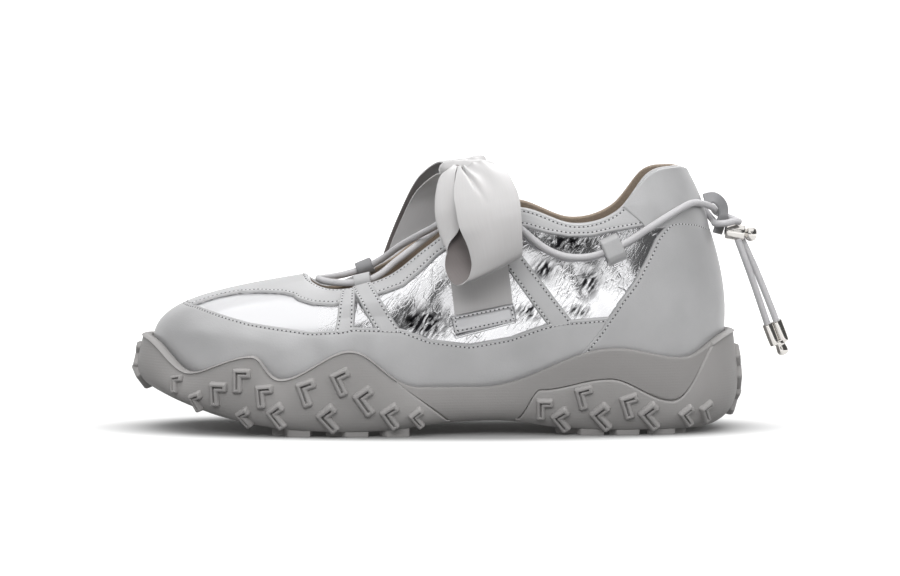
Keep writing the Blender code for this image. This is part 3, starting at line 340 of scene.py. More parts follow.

# %% [markdown]
# The windows of the upper are leather with a mirror foil pressed on it. Where the leather is lasted
# the foil cracks into fine wrinkles that run up the quarter and lean to the heel, so it shows as a
# white mirror with thin dark lines in patches. Cells drawn out along the wrinkles give the lines, 2 mm
# and 1 mm apart, and a slow noise says where they gather. On the vamp the foil is pulled tight and the
# lines fade out. The real foil also looks dark in a few patches of the quarter, where it mirrors
# something dark. These lights don't give that, so those patches are painted dark reflections: a
# darker tone in the foil's colour, placed one by one in the side view.

# %% Foil leather
WRINKLE = 0.0021
FINE_WRINKLE = 0.001
WRINKLE_LEAN = 0.6
WRINKLE_STRETCH = 3.6
WRINKLE_BEND = 0.0016
CRUMPLE = 0.016
CRUMPLE_DEPTH = 0.0003
# Where the vamp's tight foil ends and the quarter's begins, along X, and how loose the tight foil is
TIGHT_FROM, TIGHT_TO, TIGHT = -0.056, -0.03, 0.12
# Middle and half size of each painted dark reflection patch, in millimetres: (x, z, wide, high)
FOIL_PAINTED_DARK_PATCHES = (
    (-6.0, 49.5, 12.0, 7.5), (56.0, 83.5, 12.0, 4.0), (46.0, 72.5, 5.0, 4.5),
    (65.0, 66.5, 4.5, 7.5), (60.5, 54.5, 5.5, 2.5), (41.0, 54.5, 8.0, 3.5),
)
FOIL_BRIGHT, FOIL_PAINTED_DARK = "#E4E4E6", "#1C1C1E"
foil, tree, shader, place = new_finish("mirror_foil_leather", FOIL_BRIGHT, 0.12, Metallic=1.0)
warp = add_node(tree, "TexNoise", {"Vector": place, "Scale": 0.35 / WRINKLE, "Detail": 3.0})
bent = add_node(
    tree, "VectorMath", {0: warp.outputs["Color"], 1: (WRINKLE_BEND,) * 3}, operation="MULTIPLY"
)
moved = add_node(tree, "VectorMath", {0: place, 1: bent.outputs[0]}, operation="ADD").outputs[0]
drawn = add_node(
    tree, "Mapping",
    {"Vector": moved, "Rotation": (0.0, WRINKLE_LEAN, 0.0), "Scale": (1.0, 1.0, WRINKLE_STRETCH)},
    vector_type="TEXTURE",
).outputs[0]
along_shoe = add_node(tree, "SeparateXYZ", {"Vector": place}).outputs["X"]
slack = add_node(
    tree, "MapRange",
    {"Value": along_shoe, "From Min": TIGHT_FROM, "From Max": TIGHT_TO, "To Min": TIGHT, "To Max": 1.0},
).outputs[0]
crumple = add_node(tree, "TexNoise", {"Vector": place, "Scale": 1 / CRUMPLE, "Detail": 1.0})
gather = add_node(tree, "TexNoise", {"Vector": moved, "Scale": 1 / CRUMPLE, "Detail": 2.0})
patches = add_node(
    tree, "MapRange",
    {"Value": gather.outputs[0], "From Min": 0.46, "From Max": 0.62, "To Min": 0.1, "To Max": 0.8},
)
amount = add_node(tree, "Math", {0: slack, 1: patches.outputs[0]}, operation="MULTIPLY")
normal = add_node(
    tree, "Bump", {"Height": crumple.outputs[0], "Distance": CRUMPLE_DEPTH, "Strength": slack}
)
for size, valley, depth in ((WRINKLE, 0.09, 0.00014), (FINE_WRINKLE, 0.15, 0.00004)):
    cells = add_node(
        tree, "TexVoronoi", {"Vector": drawn, "Scale": 1 / size}, feature="DISTANCE_TO_EDGE"
    )
    line = add_node(
        tree, "MapRange", {"Value": cells.outputs["Distance"], "From Max": valley},
        interpolation_type="SMOOTHSTEP",
    )
    normal = add_node(
        tree, "Bump",
        {
            "Height": line.outputs[0], "Distance": depth,
            "Strength": amount.outputs[0], "Normal": normal.outputs[0],
        },
    )
tree.links.new(normal.outputs[0], shader["Normal"])
blur = add_node(
    tree, "MapRange", {"Value": slack, "From Min": TIGHT, "From Max": 1.0, "To Min": 0.3, "To Max": 0.15}
)
tree.links.new(blur.outputs[0], shader["Roughness"])
nearest = 10.0
# Painted dark reflections: the foil's colour turns to a dark tone round each listed patch
for x, z, wide, high in FOIL_PAINTED_DARK_PATCHES:
    offset = add_node(tree, "VectorMath", {0: moved, 1: (x * MM, 0.0, z * MM)}, operation="SUBTRACT")
    per_size = (1 / (wide * MM), 0.0, 1 / (high * MM))
    share = add_node(tree, "VectorMath", {0: offset.outputs[0], 1: per_size}, operation="MULTIPLY")
    far = add_node(tree, "VectorMath", {0: share.outputs[0]}, operation="LENGTH")
    nearest = add_node(tree, "Math", {0: nearest, 1: far.outputs["Value"]}, operation="MINIMUM").outputs[0]
painted_dark_spots = add_node(
    tree, "MapRange", {"Value": nearest, "From Min": 0.5, "From Max": 1.4, "To Min": 1.0, "To Max": 0.0}
)
flecks = add_node(tree, "TexNoise", {"Vector": drawn, "Scale": 1.5 / WRINKLE, "Detail": 3.0})
broken = add_node(tree, "MapRange", {"Value": flecks.outputs[0], "From Min": 0.34, "From Max": 0.56})
painted_dark_amount = add_node(tree, "Math", {0: painted_dark_spots.outputs[0], 1: broken.outputs[0]}, operation="MULTIPLY")
mix_tones(tree, shader, painted_dark_amount.outputs[0], FOIL_BRIGHT, FOIL_PAINTED_DARK)

smooth_foil, *parts = new_finish("smooth_silver_leather", "#B6B6B8", 0.28, Metallic=0.85)
add_grain(*parts, 0.0009, 3.0, relief=(0.00008, 0.5))
print("foil wrinkles:", WRINKLE / MM, "and", FINE_WRINKLE / MM, "mm")

# %% [markdown]
# The guard, counter, straps and bindings are smooth leather with a pearl finish: a thin lacquer over
# a fine grain, neither glossy nor dull. The lower pieces are a tone darker than the bands above. A
# grain of 0.5 mm is too fine for this picture, so it is drawn at 0.8 mm, with a broad cloud of tone.

# %% Pearl leathers
LEATHER_GRAIN = 0.0008
LEATHER_CLOUD = 0.022


def pearl_leather(name, *tones):
    made, *parts = new_finish(
        name, tones[0], 0.43, Metallic=0.25, Coat_Weight=0.12, Coat_Roughness=0.3
    )
    add_grain(*parts, LEATHER_CLOUD, 4.0, tones=tones)
    add_grain(*parts, LEATHER_GRAIN, 3.0, relief=(0.00014, 0.6))
    return made


guard_leather = pearl_leather("pearl_leather_grey", "#BFBFC0", "#A6A6A7")
band_leather = pearl_leather("pearl_leather_pale", "#C0C0C1", "#B0B0B1")
# A darker copy of the same pearl leather as painted shade, for the pieces that stand in shade
painted_shade_leather = pearl_leather("pearl_leather_painted_shade", "#8F8F91", "#858587")
print("leathers:", guard_leather.name, band_leather.name, painted_shade_leather.name)

# %% [markdown]
# The sole is moulded: a matt grey rubber outsole, and a foam midsole in the same colour. Moulded
# rubber has a fine matt grit from its tool, drawn here at 0.6 mm, faint level lines from the cutter
# that made the tool, 1.2 mm apart, and a little dust in its tone.

# %% Sole rubber and foam
GRIT = 0.0006
TOOL_LINE = 0.0012
DUST = 0.025


def moulded(name, light, dark, roughness):
    made, tree, shader, place = new_finish(name, light, roughness, IOR=1.5)
    dust = add_node(
        tree, "TexNoise", {"Vector": place, "Scale": 1 / DUST, "Detail": 5.0, "Roughness": 0.6}
    )
    mix_tones(tree, shader, dust.outputs[0], light, dark)
    grit = add_node(tree, "TexNoise", {"Vector": place, "Scale": 1 / GRIT, "Detail": 2.0})
    bump = add_node(tree, "Bump", {"Height": grit.outputs[0], "Distance": 0.00012, "Strength": 0.6})
    lines = add_node(tree, "TexWave", {"Vector": place, "Scale": 0.314 / TOOL_LINE}, bands_direction="Z")
    ribbed = add_node(
        tree, "Bump",
        {"Height": lines.outputs["Fac"], "Distance": 0.00004, "Strength": 0.5, "Normal": bump.outputs[0]},
    )
    tree.links.new(ribbed.outputs[0], shader["Normal"])
    return made


rubber = moulded("moulded_grey_rubber", "#A09E9D", "#949291", 0.6)
foam = moulded("moulded_grey_foam", "#949291", "#8A8887", 0.66)
print("sole:", rubber.name, foam.name)

# %% [markdown]
# Inside, the shoe is lined with a taupe cloth, and the insole is covered with the same. The ribbon is
# satin: long floats of thread along it give a soft sheen, and its back is duller and warmer, and
# darker still as painted shade for the shaded insides of the loops. The lace is a knitted tube over
# elastic. Thread is matt, and the lock and cap are plated and polished.

# %% Cloth, cord and metal
WEAVE = 0.0007
KNIT = 0.0006
TWIST = 1 / 3000
FLECK = 1 / 900
WEAR = 1 / 300
# Floats per millimetre along the ribbon and across it
FLOATS = (0.06, 1.6, 1.0)
lining, *parts = new_finish("taupe_lining_cloth", "#846F61", 0.85, Sheen_Weight=0.3)
add_grain(*parts, WEAVE, tones=("#AFA090", "#8A7C6E"), relief=(0.0002, 0.6))


def satin(name, light, dark, roughness):
    """Satin ribbon: fine lines along it, read from the ribbon's own map in millimetres."""
    made, tree, shader, place = new_finish(name, light, roughness, Sheen_Weight=0.25, Sheen_Roughness=0.4)
    flat = add_node(tree, "TexCoord").outputs["UV"]
    long = add_node(tree, "Mapping", {"Vector": flat, "Scale": FLOATS}).outputs[0]
    add_grain(tree, shader, long, 1.0, 3.0, tones=(light, dark), relief=(0.00002, 0.4))
    return made


satin_face = satin("satin_ribbon_face", "#BDBCBC", "#B5B3B3", 0.34)
# The back's tone is partly the duller cloth and partly painted shade for the loops' insides
satin_back_and_painted_shade = satin("satin_ribbon_back_and_painted_shade", "#7D7776", "#736D6C", 0.5)

cord_knit, *parts = new_finish("knitted_elastic_cord", "#B8B7B9", 0.5, Sheen_Weight=0.2)
add_grain(*parts, KNIT, tones=("#CBCACC", "#B6B5B7"), relief=(0.00015, 0.5))

plated, tree, shader, place = new_finish("polished_nickel_plate", "#D9D6D2", 0.12, Metallic=1.0)
wear = add_node(tree, "TexNoise", {"Vector": place, "Scale": 1 / WEAR, "Detail": 3.0})
rough = add_node(tree, "MapRange", {"Value": wear.outputs[0], "To Min": 0.08, "To Max": 0.2})
tree.links.new(rough.outputs[0], shader["Roughness"])

thread, *parts = new_finish("polyester_thread", "#D4D4D5", 0.55)
add_grain(*parts, TWIST, relief=(0.00005, 0.5))
# The needle holes' dark tone is painted shade, for the shade inside each hole
needle_painted_shade, *parts = new_finish("needle_hole_shade", "#5E5E60", 0.8)
add_grain(*parts, FLECK, tones=("#545456", "#404042"))
print("finishes:", len(bpy.data.materials))


# %% [markdown]
# Every soft piece of the shoe starts as a grid primitive whose corners are laid on the last, and is
# finished with modifiers. These few helpers do what a hand does: leave nothing else selected, add
# the grid, apply a modifier, weld the seam where a grid closes on itself, and give it its finish.

# %% Tools for the pieces
def only(piece):
    """Selects one piece and makes it active."""
    bpy.ops.object.select_all(action="DESELECT")
    piece.select_set(True)
    bpy.context.view_layer.objects.active = piece


def grid_sheet(name, points):
    """A grid primitive with its corners moved to rows of points, in millimetres."""
    rows, columns = points.shape[:2]
    bpy.ops.object.select_all(action="DESELECT")
    bpy.ops.mesh.primitive_grid_add(x_subdivisions=columns - 1, y_subdivisions=rows - 1, size=1.0)
    sheet = bpy.context.object
    sheet.name = sheet.data.name = name
    sheet.data.vertices.foreach_set("co", (points * MM).astype(np.float32).ravel())
    return sheet


def change(piece, kind, **settings):
    """Adds a modifier to a piece and applies it."""
    only(piece)
    modifier = piece.modifiers.new(kind.lower(), kind)
    for name, value in settings.items():
        setattr(modifier, name, value)
    bpy.ops.object.modifier_apply(modifier=modifier.name)


def weld(piece, outside=True):
    """Merges doubled corners, and turns the faces of a closed shape outwards."""
    only(piece)
    bpy.ops.object.mode_set(mode="EDIT")
    bpy.ops.mesh.select_all(action="SELECT")
    bpy.ops.mesh.remove_doubles(threshold=0.00002)
    if outside:
        bpy.ops.mesh.normals_make_consistent(inside=False)
    bpy.ops.object.mode_set(mode="OBJECT")


def settle(piece, slot, finishes, *nodes, angle=40.0):
    """Gives a piece its finishes and its place in the frame, and hides the imported parts that it stands for.
    """
    for finish in finishes:
        piece.data.materials.append(finish)
    only(piece)
    bpy.ops.object.shade_smooth_by_angle(angle=math.radians(angle))
    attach(piece, "root")
    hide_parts(*nodes)
    print(piece.name, len(piece.data.polygons), "faces")
    return piece


def on_side(x, z, inner=False):
    """(u, t) of the upper where it shows at x, z in the side view, by Newton's method."""
    x, z = np.broadcast_arrays(np.asarray(x, float), np.asarray(z, float))
    first = HALF + 0.6
    u = np.interp(x, column(LAST, LAST_COLUMNS, "feather_x"), range(HALF + 1)) + HALF
    u = np.maximum(u, first) if inner else np.minimum(ROUND - u, ROUND - first)
    t = np.full_like(u, 0.5)
    for _ in range(40):
        here = last_point(u, t)
        by_u = (last_point(u + 0.01, t) - here) / 0.01
        by_t = (last_point(u, t + 0.001) - here) / 0.001
        left, up = x - here[..., 0], z - here[..., 2]
        whole = by_u[..., 0] * by_t[..., 2] - by_t[..., 0] * by_u[..., 2]
        u = u + np.clip((left * by_t[..., 2] - by_t[..., 0] * up) / whole, -0.5, 0.5)
        t = t + np.clip((by_u[..., 0] * up - left * by_u[..., 2]) / whole, -0.15, 0.15)
    return u, t


print("the outer ankle is at", [round(float(v), 2) for v in on_side(60.0, 70.0)])

# %% [markdown]
# The silver upper is one hollow skin, 2 mm thick. Its section goes up the outside, over a rolled top
# edge and down the inside, and a grid carries that section once round the shoe. The outside is foil,
# leather binds the outer half of the roll, and the rest is lining, so the grid gets its finishes by
# column. The largest creases stand where the foot bends, listed one by one as soft troughs and ridges.

# %% The upper
WALL = 2.0
ROLL_HEIGHT = 0.9
# In the side view: (x, z, length, lean, width, depth)
CREASES = (
    (-12.0, 54.0, 11.0, 62.0, 3.0, -0.45), (-4.0, 57.0, 13.0, 70.0, 3.4, 0.4),
    (3.0, 55.0, 12.0, 80.0, 3.0, -0.4), (40.0, 68.0, 12.0, 115.0, 3.0, -0.4),
    (54.0, 70.0, 9.0, 118.0, 3.0, 0.4), (62.0, 64.0, 13.0, 112.0, 2.6, -0.5),
    (68.0, 66.0, 13.0, 108.0, 3.0, 0.45), (78.0, 70.0, 10.0, 112.0, 3.0, -0.35),
    (-66.0, 52.0, 14.0, 20.0, 3.0, -0.25),
)
GUARD_CREASES = (
    (-54.0, 37.0, 10.0, 72.0, 3.6, -1.0), (-45.0, 40.0, 11.0, 76.0, 5.0, 0.8),
    (-33.0, 38.0, 10.0, 82.0, 4.0, -0.8), (-24.0, 37.0, 9.0, 85.0, 4.5, 0.6),
    (-80.0, 42.0, 16.0, -12.0, 4.0, 0.6), (-100.0, 44.0, 12.0, -15.0, 4.0, 0.5),
    (-66.0, 36.0, 12.0, 60.0, 4.0, 0.6), (30.0, 33.0, 14.0, 12.0, 4.0, -0.5),
    (62.0, 38.0, 12.0, 40.0, 4.0, 0.5), (95.0, 62.0, 16.0, 75.0, 6.0, -0.7),
    (104.0, 50.0, 14.0, 70.0, 6.0, 0.6), (98.0, 80.0, 12.0, 20.0, 5.0, 0.5),
)


def creased(points, creases=CREASES):
    """How far a skin stands out at each point: troughs and ridges in the side view."""
    lift = np.zeros(points.shape[:-1])
    for x, z, long, lean, wide, depth in creases:
        c, s = math.cos(math.radians(lean)), math.sin(math.radians(lean))
        dx, dz = points[..., 0] - x, points[..., 2] - z
        along, across = dx * c + dz * s, dz * c - dx * s
        lift += depth * np.exp(-((along / long) ** 2) * 2 - (across / wide) ** 2)
    return lift


round_u = np.linspace(0, ROUND, 361)[:, None]
outer_t = np.linspace(0, 1, 72)[None, :]
outside = on_upper(round_u, outer_t, creased(last_point(round_u, outer_t + 0 * round_u)))
roll = np.linspace(0, math.pi, 9)[None, 1:-1]
edge_up = last_point(round_u, 1.0 + 0 * round_u) - last_point(round_u, 0.99 + 0 * round_u)
edge_up = edge_up / np.linalg.norm(edge_up, axis=-1, keepdims=True)
rolled_edge = on_upper(round_u, 1.0, WALL / 2 * (np.cos(roll) - 1))
rolled_edge = rolled_edge + edge_up * np.sin(roll)[..., None] * ROLL_HEIGHT
inside = on_upper(round_u, np.linspace(1, 0, 30)[None, :], -WALL)
upper = grid_sheet("silver_upper", np.concatenate([outside, rolled_edge, inside, outside[:, :1]], axis=1))
columns = outside.shape[1] + rolled_edge.shape[1] + inside.shape[1]
roll_start, roll_half = outside.shape[1] - 1, rolled_edge.shape[1] // 2
parts = np.searchsorted((roll_start, roll_start + roll_half), np.arange(columns), "right")
upper.data.polygons.foreach_set("material_index", np.tile(parts, len(round_u) - 1).astype(np.int32))
weld(upper, outside=False)
settle(upper, "silver_leather", (foil, band_leather, lining), "upper", angle=60)

# %% [markdown]
# A leather piece is cut, skived thin and sewn down, so its edge is a small round. Here a patch of u
# and t gets its height from the distance to its free edges: a quarter round of 0.9 mm at the edge,
# a shallow trough under the stitches 1.7 mm further in, then the full thickness. Solidify gives it
# an underside. The seam rows are kept, and the stitches are all made at the end.

# %% Leather panels and their seams
LEATHER = 1.2
GAP = 0.3
EDGE_STEPS = np.array((0.0, 0.12, 0.35, 0.7, 1.1, 1.5, 1.9, 2.4, 3.0))
SEAM_INSET = 1.7
SEAM_TROUGH = 0.22
SEAM_WIDTH = 0.5
EDGE_ROUND = 0.9
PUFF_REACH = 7.0
SINK = 0.2
UNDERSIDE = 0.5
seam_rows = []


def panel_shares(length, step):
    """Shares across a panel, close together at both edges."""
    edge = EDGE_STEPS * min(1.0, 0.3 * length / EDGE_STEPS[-1])
    inner = np.linspace(edge[-1], length - edge[-1], max(3, round((length - 2 * edge[-1]) / step) + 1))
    return np.concatenate([edge[:-1], inner, length - edge[-2::-1]]) / length


def distance_to(points, edges):
    """Distance of each point to the nearest of some edge lines."""
    line = np.concatenate([spaced(edge, 0.1) for edge in edges])
    tree = KDTree(len(line))
    for i, p in enumerate(line):
        tree.insert(p, i)
    tree.balance()
    return np.array([tree.find(p)[2] for p in points.reshape(-1, 3)]).reshape(points.shape[:-1])


def sew(u, t, reach, lift, inset=SEAM_INSET):
    """Keeps a seam row where the distance from the edge, along each row, first reaches the inset."""
    crossed = (reach.max(axis=1) >= inset) & (reach[:, 0] < inset)
    if crossed.sum() < 3:
        return
    i = np.flatnonzero(crossed)
    k = np.argmax(reach[i] >= inset, axis=1)
    share = (inset - reach[i, k - 1]) / (reach[i, k] - reach[i, k - 1])
    values = [grid[i, k - 1] + share * (grid[i, k] - grid[i, k - 1]) for grid in (u, t, lift)]
    seam_rows.append(np.stack(values, axis=1))


def leather(name, u, t, free, sewn, rest=0.0, thick=LEATHER + GAP, puff=0.0, inset=SEAM_INSET):
    """A leather patch: free edges are rounded, and each sewn edge gets a row of stitches."""
    u, t = np.broadcast_arrays(u, t)
    rest = np.broadcast_to(rest, u.shape)
    base = last_point(u, t)
    edges = {"start": base[0], "end": base[-1], "low": base[:, 0], "high": base[:, -1]}
    reach = distance_to(base, [edges[side] for side in free])
    lift = rest + thick * np.sqrt(1 - np.clip(1 - reach / EDGE_ROUND, 0, 1) ** 2) - SINK
    lift = lift + puff * (1 - np.exp(-((reach / PUFF_REACH) ** 2))) + creased(base, GUARD_CREASES)
    gaps = {side: distance_to(base, [edges[side]]) for side in sewn}
    for gap in gaps.values():
        lift = lift - SEAM_TROUGH * np.exp(-(((gap - inset) / SEAM_WIDTH) ** 2))
    for side, gap in gaps.items():
        is_turned, way = {"low": (0, 1), "high": (0, -1), "start": (1, 1), "end": (1, -1)}[side]
        grids = [grid.T if is_turned else grid for grid in (u, t, gap, lift)]
        sew(*(grid[:, ::way] for grid in grids), inset=inset)
    sheet = grid_sheet(name, on_upper(u, t, lift))
    weld(sheet, outside=False)
    change(sheet, "SOLIDIFY", thickness=UNDERSIDE * MM, offset=-1.0)
    return sheet


print("panel rows across 20 mm:", len(panel_shares(20.0, 2.0)))

# %% [markdown]
# The guard runs round the toe and the sides, and its top edge waves in the side view. The heel
# counter laps over its ends with a slanting seam. Both go down behind the sole's rim.

# %% Mudguard and heel counter
MUDGUARD_EDGE = (
    (-112.0, 54.4), (-103.5, 53.8), (-80.0, 48.3), (-55.0, 45.2), (-42.0, 45.6), (-36.0, 47.0),
    (-16.0, 46.6), (-3.5, 42.0), (13.5, 39.8), (30.5, 42.7), (43.5, 47.4), (52.0, 49.6), (75.0, 51.5),
)
BINDING_EDGE = (
    (-60.0, 56.0), (-45.0, 55.4), (-34.0, 57.4), (-23.0, 60.8), (-15.0, 63.8), (-7.0, 70.4),
    (0.0, 76.9), (14.0, 86.6), (26.0, 89.4), (37.0, 89.3), (46.5, 86.6), (56.0, 85.0),
    (65.5, 85.2), (74.5, 87.2), (88.0, 89.6),
)
COUNTER_FRONT = (
    (52.0, 25.8), (60.0, 34.4), (69.0, 45.6), (77.7, 58.5), (86.3, 71.3), (92.6, 84.2), (97.5, 90.0),
)
COUNTER_TOP = ((88.0, 90.0), (103.0, 91.6), (110.0, 90.6), (122.0, 85.2))
TAB_FRONT = ((79.0, 97.5), (88.0, 89.6))
GUARD_END = (72.6, 51.0)
THROAT_BAND = 0.815


def mirrored(u):
    """The same place on the outer side, counted from the heel."""
    u = np.mod(u, ROUND)
    return np.minimum(u, ROUND - u)


def seam_share(u, rows, beyond):
    """t of a slanting seam that is drawn in the side view; beyond is given behind it."""
    us, ts = on_side(*np.array(rows).T)
    order = np.argsort(us)
    return np.interp(mirrored(u), us[order], ts[order], left=beyond)


def between(low, high, shares):
    """A grid of t between two edges."""
    return low[:, None] + (high - low)[:, None] * shares


def place_u(place):
    return float(on_side(*place)[0])


guard_end = place_u(GUARD_END) - 0.25
u = np.linspace(guard_end, ROUND - guard_end, 520)
guard = between(0 * u, edge_height(u, MUDGUARD_EDGE), panel_shares(34.0, 1.6))
mudguard = leather("mudguard_leather", u[:, None], guard, ("high",), ("high",))
settle(mudguard, "grey_leather", (guard_leather,), "mudguard")

counter_end = place_u(COUNTER_FRONT[0])
seam_u = on_side(*np.array(COUNTER_FRONT).T)[0]
u = np.linspace(-counter_end, counter_end, 241)
u = np.unique(np.concatenate([u, seam_u, -seam_u]))
high = np.minimum(edge_height(np.abs(u), COUNTER_TOP), seam_share(u, COUNTER_FRONT, 1.0))
counter = between(0 * u, high, panel_shares(60.0, 2.0))
counter = leather("counter_leather", u[:, None], counter, ("high",), ("high",), rest=0.6)
settle(counter, "grey_leather", (guard_leather,), "heel_counter")

# %% [markdown]
# One pale piece makes the strip up the toe and the band round the throat and collar, so that its
# lower edge runs on from one into the other without a seam. The heel tab is stuffed with foam, so
# it swells between its edges.

# %% Toe strip, topline band and heel tab
STRIP_HALF = ((0.39, 0.0), (0.43, 0.45), (0.54, 0.68), (0.85, 0.86), (1.35, 1.0))


def binding_edge(u):
    """Lower edge of the band: a line in the side view, and an even band round the throat's front."""
    drawn = edge_height(u, BINDING_EDGE)
    front = np.clip((2.6 - np.abs(u - HALF)) / 0.9, 0, 1)
    return drawn * (1 - front) + THROAT_BAND * front


band_end = place_u(TAB_FRONT[-1]) - 0.12
near_strip = HALF + np.concatenate([s * np.linspace(0.36, 0.58, 70) for s in (-1, 1)])
u = np.linspace(band_end, ROUND - band_end, 560)
u = np.unique(np.concatenate([u, near_strip]))
share = np.interp(np.abs(u - HALF), *np.array(STRIP_HALF).T)
guard = edge_height(u, MUDGUARD_EDGE)
low = guard - 0.02 + (binding_edge(u) - guard + 0.02) * share
band = between(low, np.full_like(u, 0.999), panel_shares(9.0, 0.9))
binding = leather("topline_band", u[:, None], band, ("low", "high"), ("low", "high"))
settle(binding, "grey_leather", (band_leather,), "topline_binding", "vamp_strip")

tab_end = place_u(TAB_FRONT[0])
u = np.linspace(-tab_end, tab_end, 201)
low = np.maximum(edge_height(np.abs(u), COUNTER_TOP) - 0.03, seam_share(u, TAB_FRONT, 0.0))
tab = between(np.minimum(low, 0.98), np.full_like(u, 0.999), panel_shares(26.0, 1.3))
heel_tab = leather("heel_tab_pad", u[:, None], tab, ("low", "high"), (), thick=2.0, puff=0.9)
settle(heel_tab, "grey_leather", (guard_leather,), "heel_tab")

# %% [markdown]
# Straps cross the quarters from the guard to the topline, and small tabs arch over the lace. In the
# side view they are straight, so each is a grid between its foot and head, laid on the last.

# %% Straps and lace tabs
# Front and back x of the foot, front and back corner of the head as x and z, and the head's lift
STRAPS = {
    "strap_front": (-44.4, -36.0, -41.4, 59.6, -34.8, 60.6, 2.2),
    "strap_loop": (-26.4, -15.4, -36.8, 61.0, -28.4, 63.6, 2.2),
    "strap_back": (47.3, 58.0, 24.4, 78.6, 31.0, 83.8, 0.3),
}
STRAP_FOOT_TUCK = 1.5
STRAP_ROWS = 40
STRAP_SEAM_INSET = 1.3
SIDES = (("outer", False), ("inner", True))
SIDE_LOOP = (74.6, 79.8)
SIDE_LOOP_SPAN = 12.0
SIDE_LOOP_WIDTH = 8.2
SIDE_LOOP_LEAN = math.radians(-24.0)
SIDE_LOOP_HUMP = 3.6


def straight_grid(foot, head, inner, rows):
    """u and t of a strap in the side view; foot and head each hold its front and back corner."""
    along = np.linspace(0, 1, rows)[:, None, None]
    across = panel_shares(float(np.linalg.norm(np.subtract(*foot))), 1.0)[None, :, None]
    lines = [np.array(end[0]) + (np.array(end[1]) - end[0]) * across for end in (foot, head)]
    places = lines[0] + (lines[1] - lines[0]) * along
    return on_side(places[..., 0], places[..., 1], inner)


for strap, row in STRAPS.items():
    foot_x = np.array(row[:2])
    foot_z = np.interp(foot_x, *np.array(MUDGUARD_EDGE).T) - STRAP_FOOT_TUCK
    foot = np.stack([foot_x, foot_z], axis=1)
    head = np.array(row[2:6]).reshape(2, 2)
    rise = np.interp(np.linspace(0, 1, STRAP_ROWS), (0.35, 0.62), (0.0, row[6] - GAP))[:, None]
    for side, inner in SIDES:
        u, t = straight_grid(foot, head, inner, STRAP_ROWS)
        made = leather(
            f"{strap}_leather_{side}", u, t, ("low", "high", "end"), ("low", "high"),
            rest=rise, inset=STRAP_SEAM_INSET,
        )
        settle(made, "grey_leather", (band_leather,), f"{strap}_{side}")

lean = np.array((math.sin(SIDE_LOOP_LEAN), math.cos(SIDE_LOOP_LEAN)))
wide = np.array((lean[1], -lean[0])) * SIDE_LOOP_WIDTH / 2
low, high = (np.array(SIDE_LOOP) + lean * SIDE_LOOP_SPAN / 2 * s for s in (-1, 1))
arch = np.linspace(-1, 1, 41)
hump = SIDE_LOOP_HUMP * np.clip(1.35 * np.cos(arch * math.pi / 2) ** 0.8, 0, 1)
for side, inner in SIDES:
    u, t = straight_grid((low - wide, low + wide), (high - wide, high + wide), inner, 41)
    made = leather(f"lace_tab_{side}", u, t, ("low", "high", "start", "end"), (), rest=hump[:, None])
    settle(made, "grey_leather", (guard_leather,), f"side_loop_{side}")

# %% [markdown]
# The sole is a foam cup with a rubber outsole round its toe and heel. Its side swells from a tucked
# bottom edge to a rim that rises and falls in waves along the upper. The same sections as the last
# give its shape: how far the side stands out, how far the bottom tucks in, and the bottom's height.

# %% The sole's surface
RIM_THICKNESS = 3.2
CUP_LIFT = 2.0
FLOOR_DROP = 0.3
FLOOR_REACH = 1.4
INSOLE_THICKNESS = 3.0
OUTSOLE_LEAST = 0.14
NEAR_EDGE = 0.05
SPINE_SHARE = 0.93
LIP_HEIGHT = 1.1
SOLE_COLUMNS = ("side", "tuck", "bottom")
SOLE = {
    "toe_tip": (17.5, 16.0, 16.5),
    "toe_side": (14.0, 12.0, 14.0),
    "toe_corner": (10.0, 8.5, 8.5),
    "vamp": (9.0, 6.5, 4.2),
    "ball": (8.5, 6.0, 2.5),
    "waist_front": (8.5, 6.0, 2.8),
    "waist": (7.5, 5.0, 5.8),
    "instep": (7.5, 5.0, 6.4),
    "instep_back": (8.0, 6.0, 3.6),
    "ankle": (8.5, 6.0, 2.5),
    "ankle_back": (8.5, 6.5, 2.5),
    "heel_side": (11.0, 9.0, 2.7),
    "heel_corner": (14.0, 11.5, 3.4),
    "heel_back": (15.5, 12.5, 4.0),
}

# Crests and troughs of the sole's rim and of the heel outsole's edge, along X: (x, z)
RIM_WAVE = (
    (-130.0, 40.0), (-107.0, 26.6), (-83.0, 34.0), (-67.5, 24.6), (-40.5, 36.4),
    (-8.0, 21.0), (18.0, 20.8), (77.0, 37.2), (105.0, 33.0), (128.0, 42.6),
)
HEEL_SEAM_WAVE = ((33.0, 6.6), (44.0, 19.8), (74.0, 24.5), (100.0, 14.8), (124.0, 43.0))
FRONT_SEAM_TOP = (-21.5, 26.6)
FRONT_SEAM_FOOT = (5.0, 6.0)
HEEL_SEAM_START = 33.0
SHAPE |= {
    name: loop_values(column(SOLE, SOLE_COLUMNS, name), column(SOLE, SOLE_COLUMNS, name))
    for name in SOLE_COLUMNS
}


def rim_height(u):
    foot = spline(FEATHER, u) + outward(u) * spline(SHAPE["side"], u)[..., None] * 0.6
    return eased(RIM_WAVE, foot[..., 0]), foot[..., 0]


RIM_LIMIT = 0.6
ROUND_STEPS = np.linspace(0, ROUND, 30 * ROUND + 1)
RIM_HEIGHTS = rim_height(ROUND_STEPS)[0]
RIM_STEPS = crossing(ROUND_STEPS, lambda t: last_point(ROUND_STEPS, t)[..., 2] < RIM_HEIGHTS, RIM_LIMIT)


def rim_share(u):
    """t of the upper at the sole's rim."""
    return np.interp(np.mod(u, ROUND), ROUND_STEPS, RIM_STEPS)


def rim_line(u, outside):
    """The sole's rim round the upper, at its inner edge or further out."""
    return on_upper(u, rim_share(u), CUP_LIFT) + outward(u) * outside


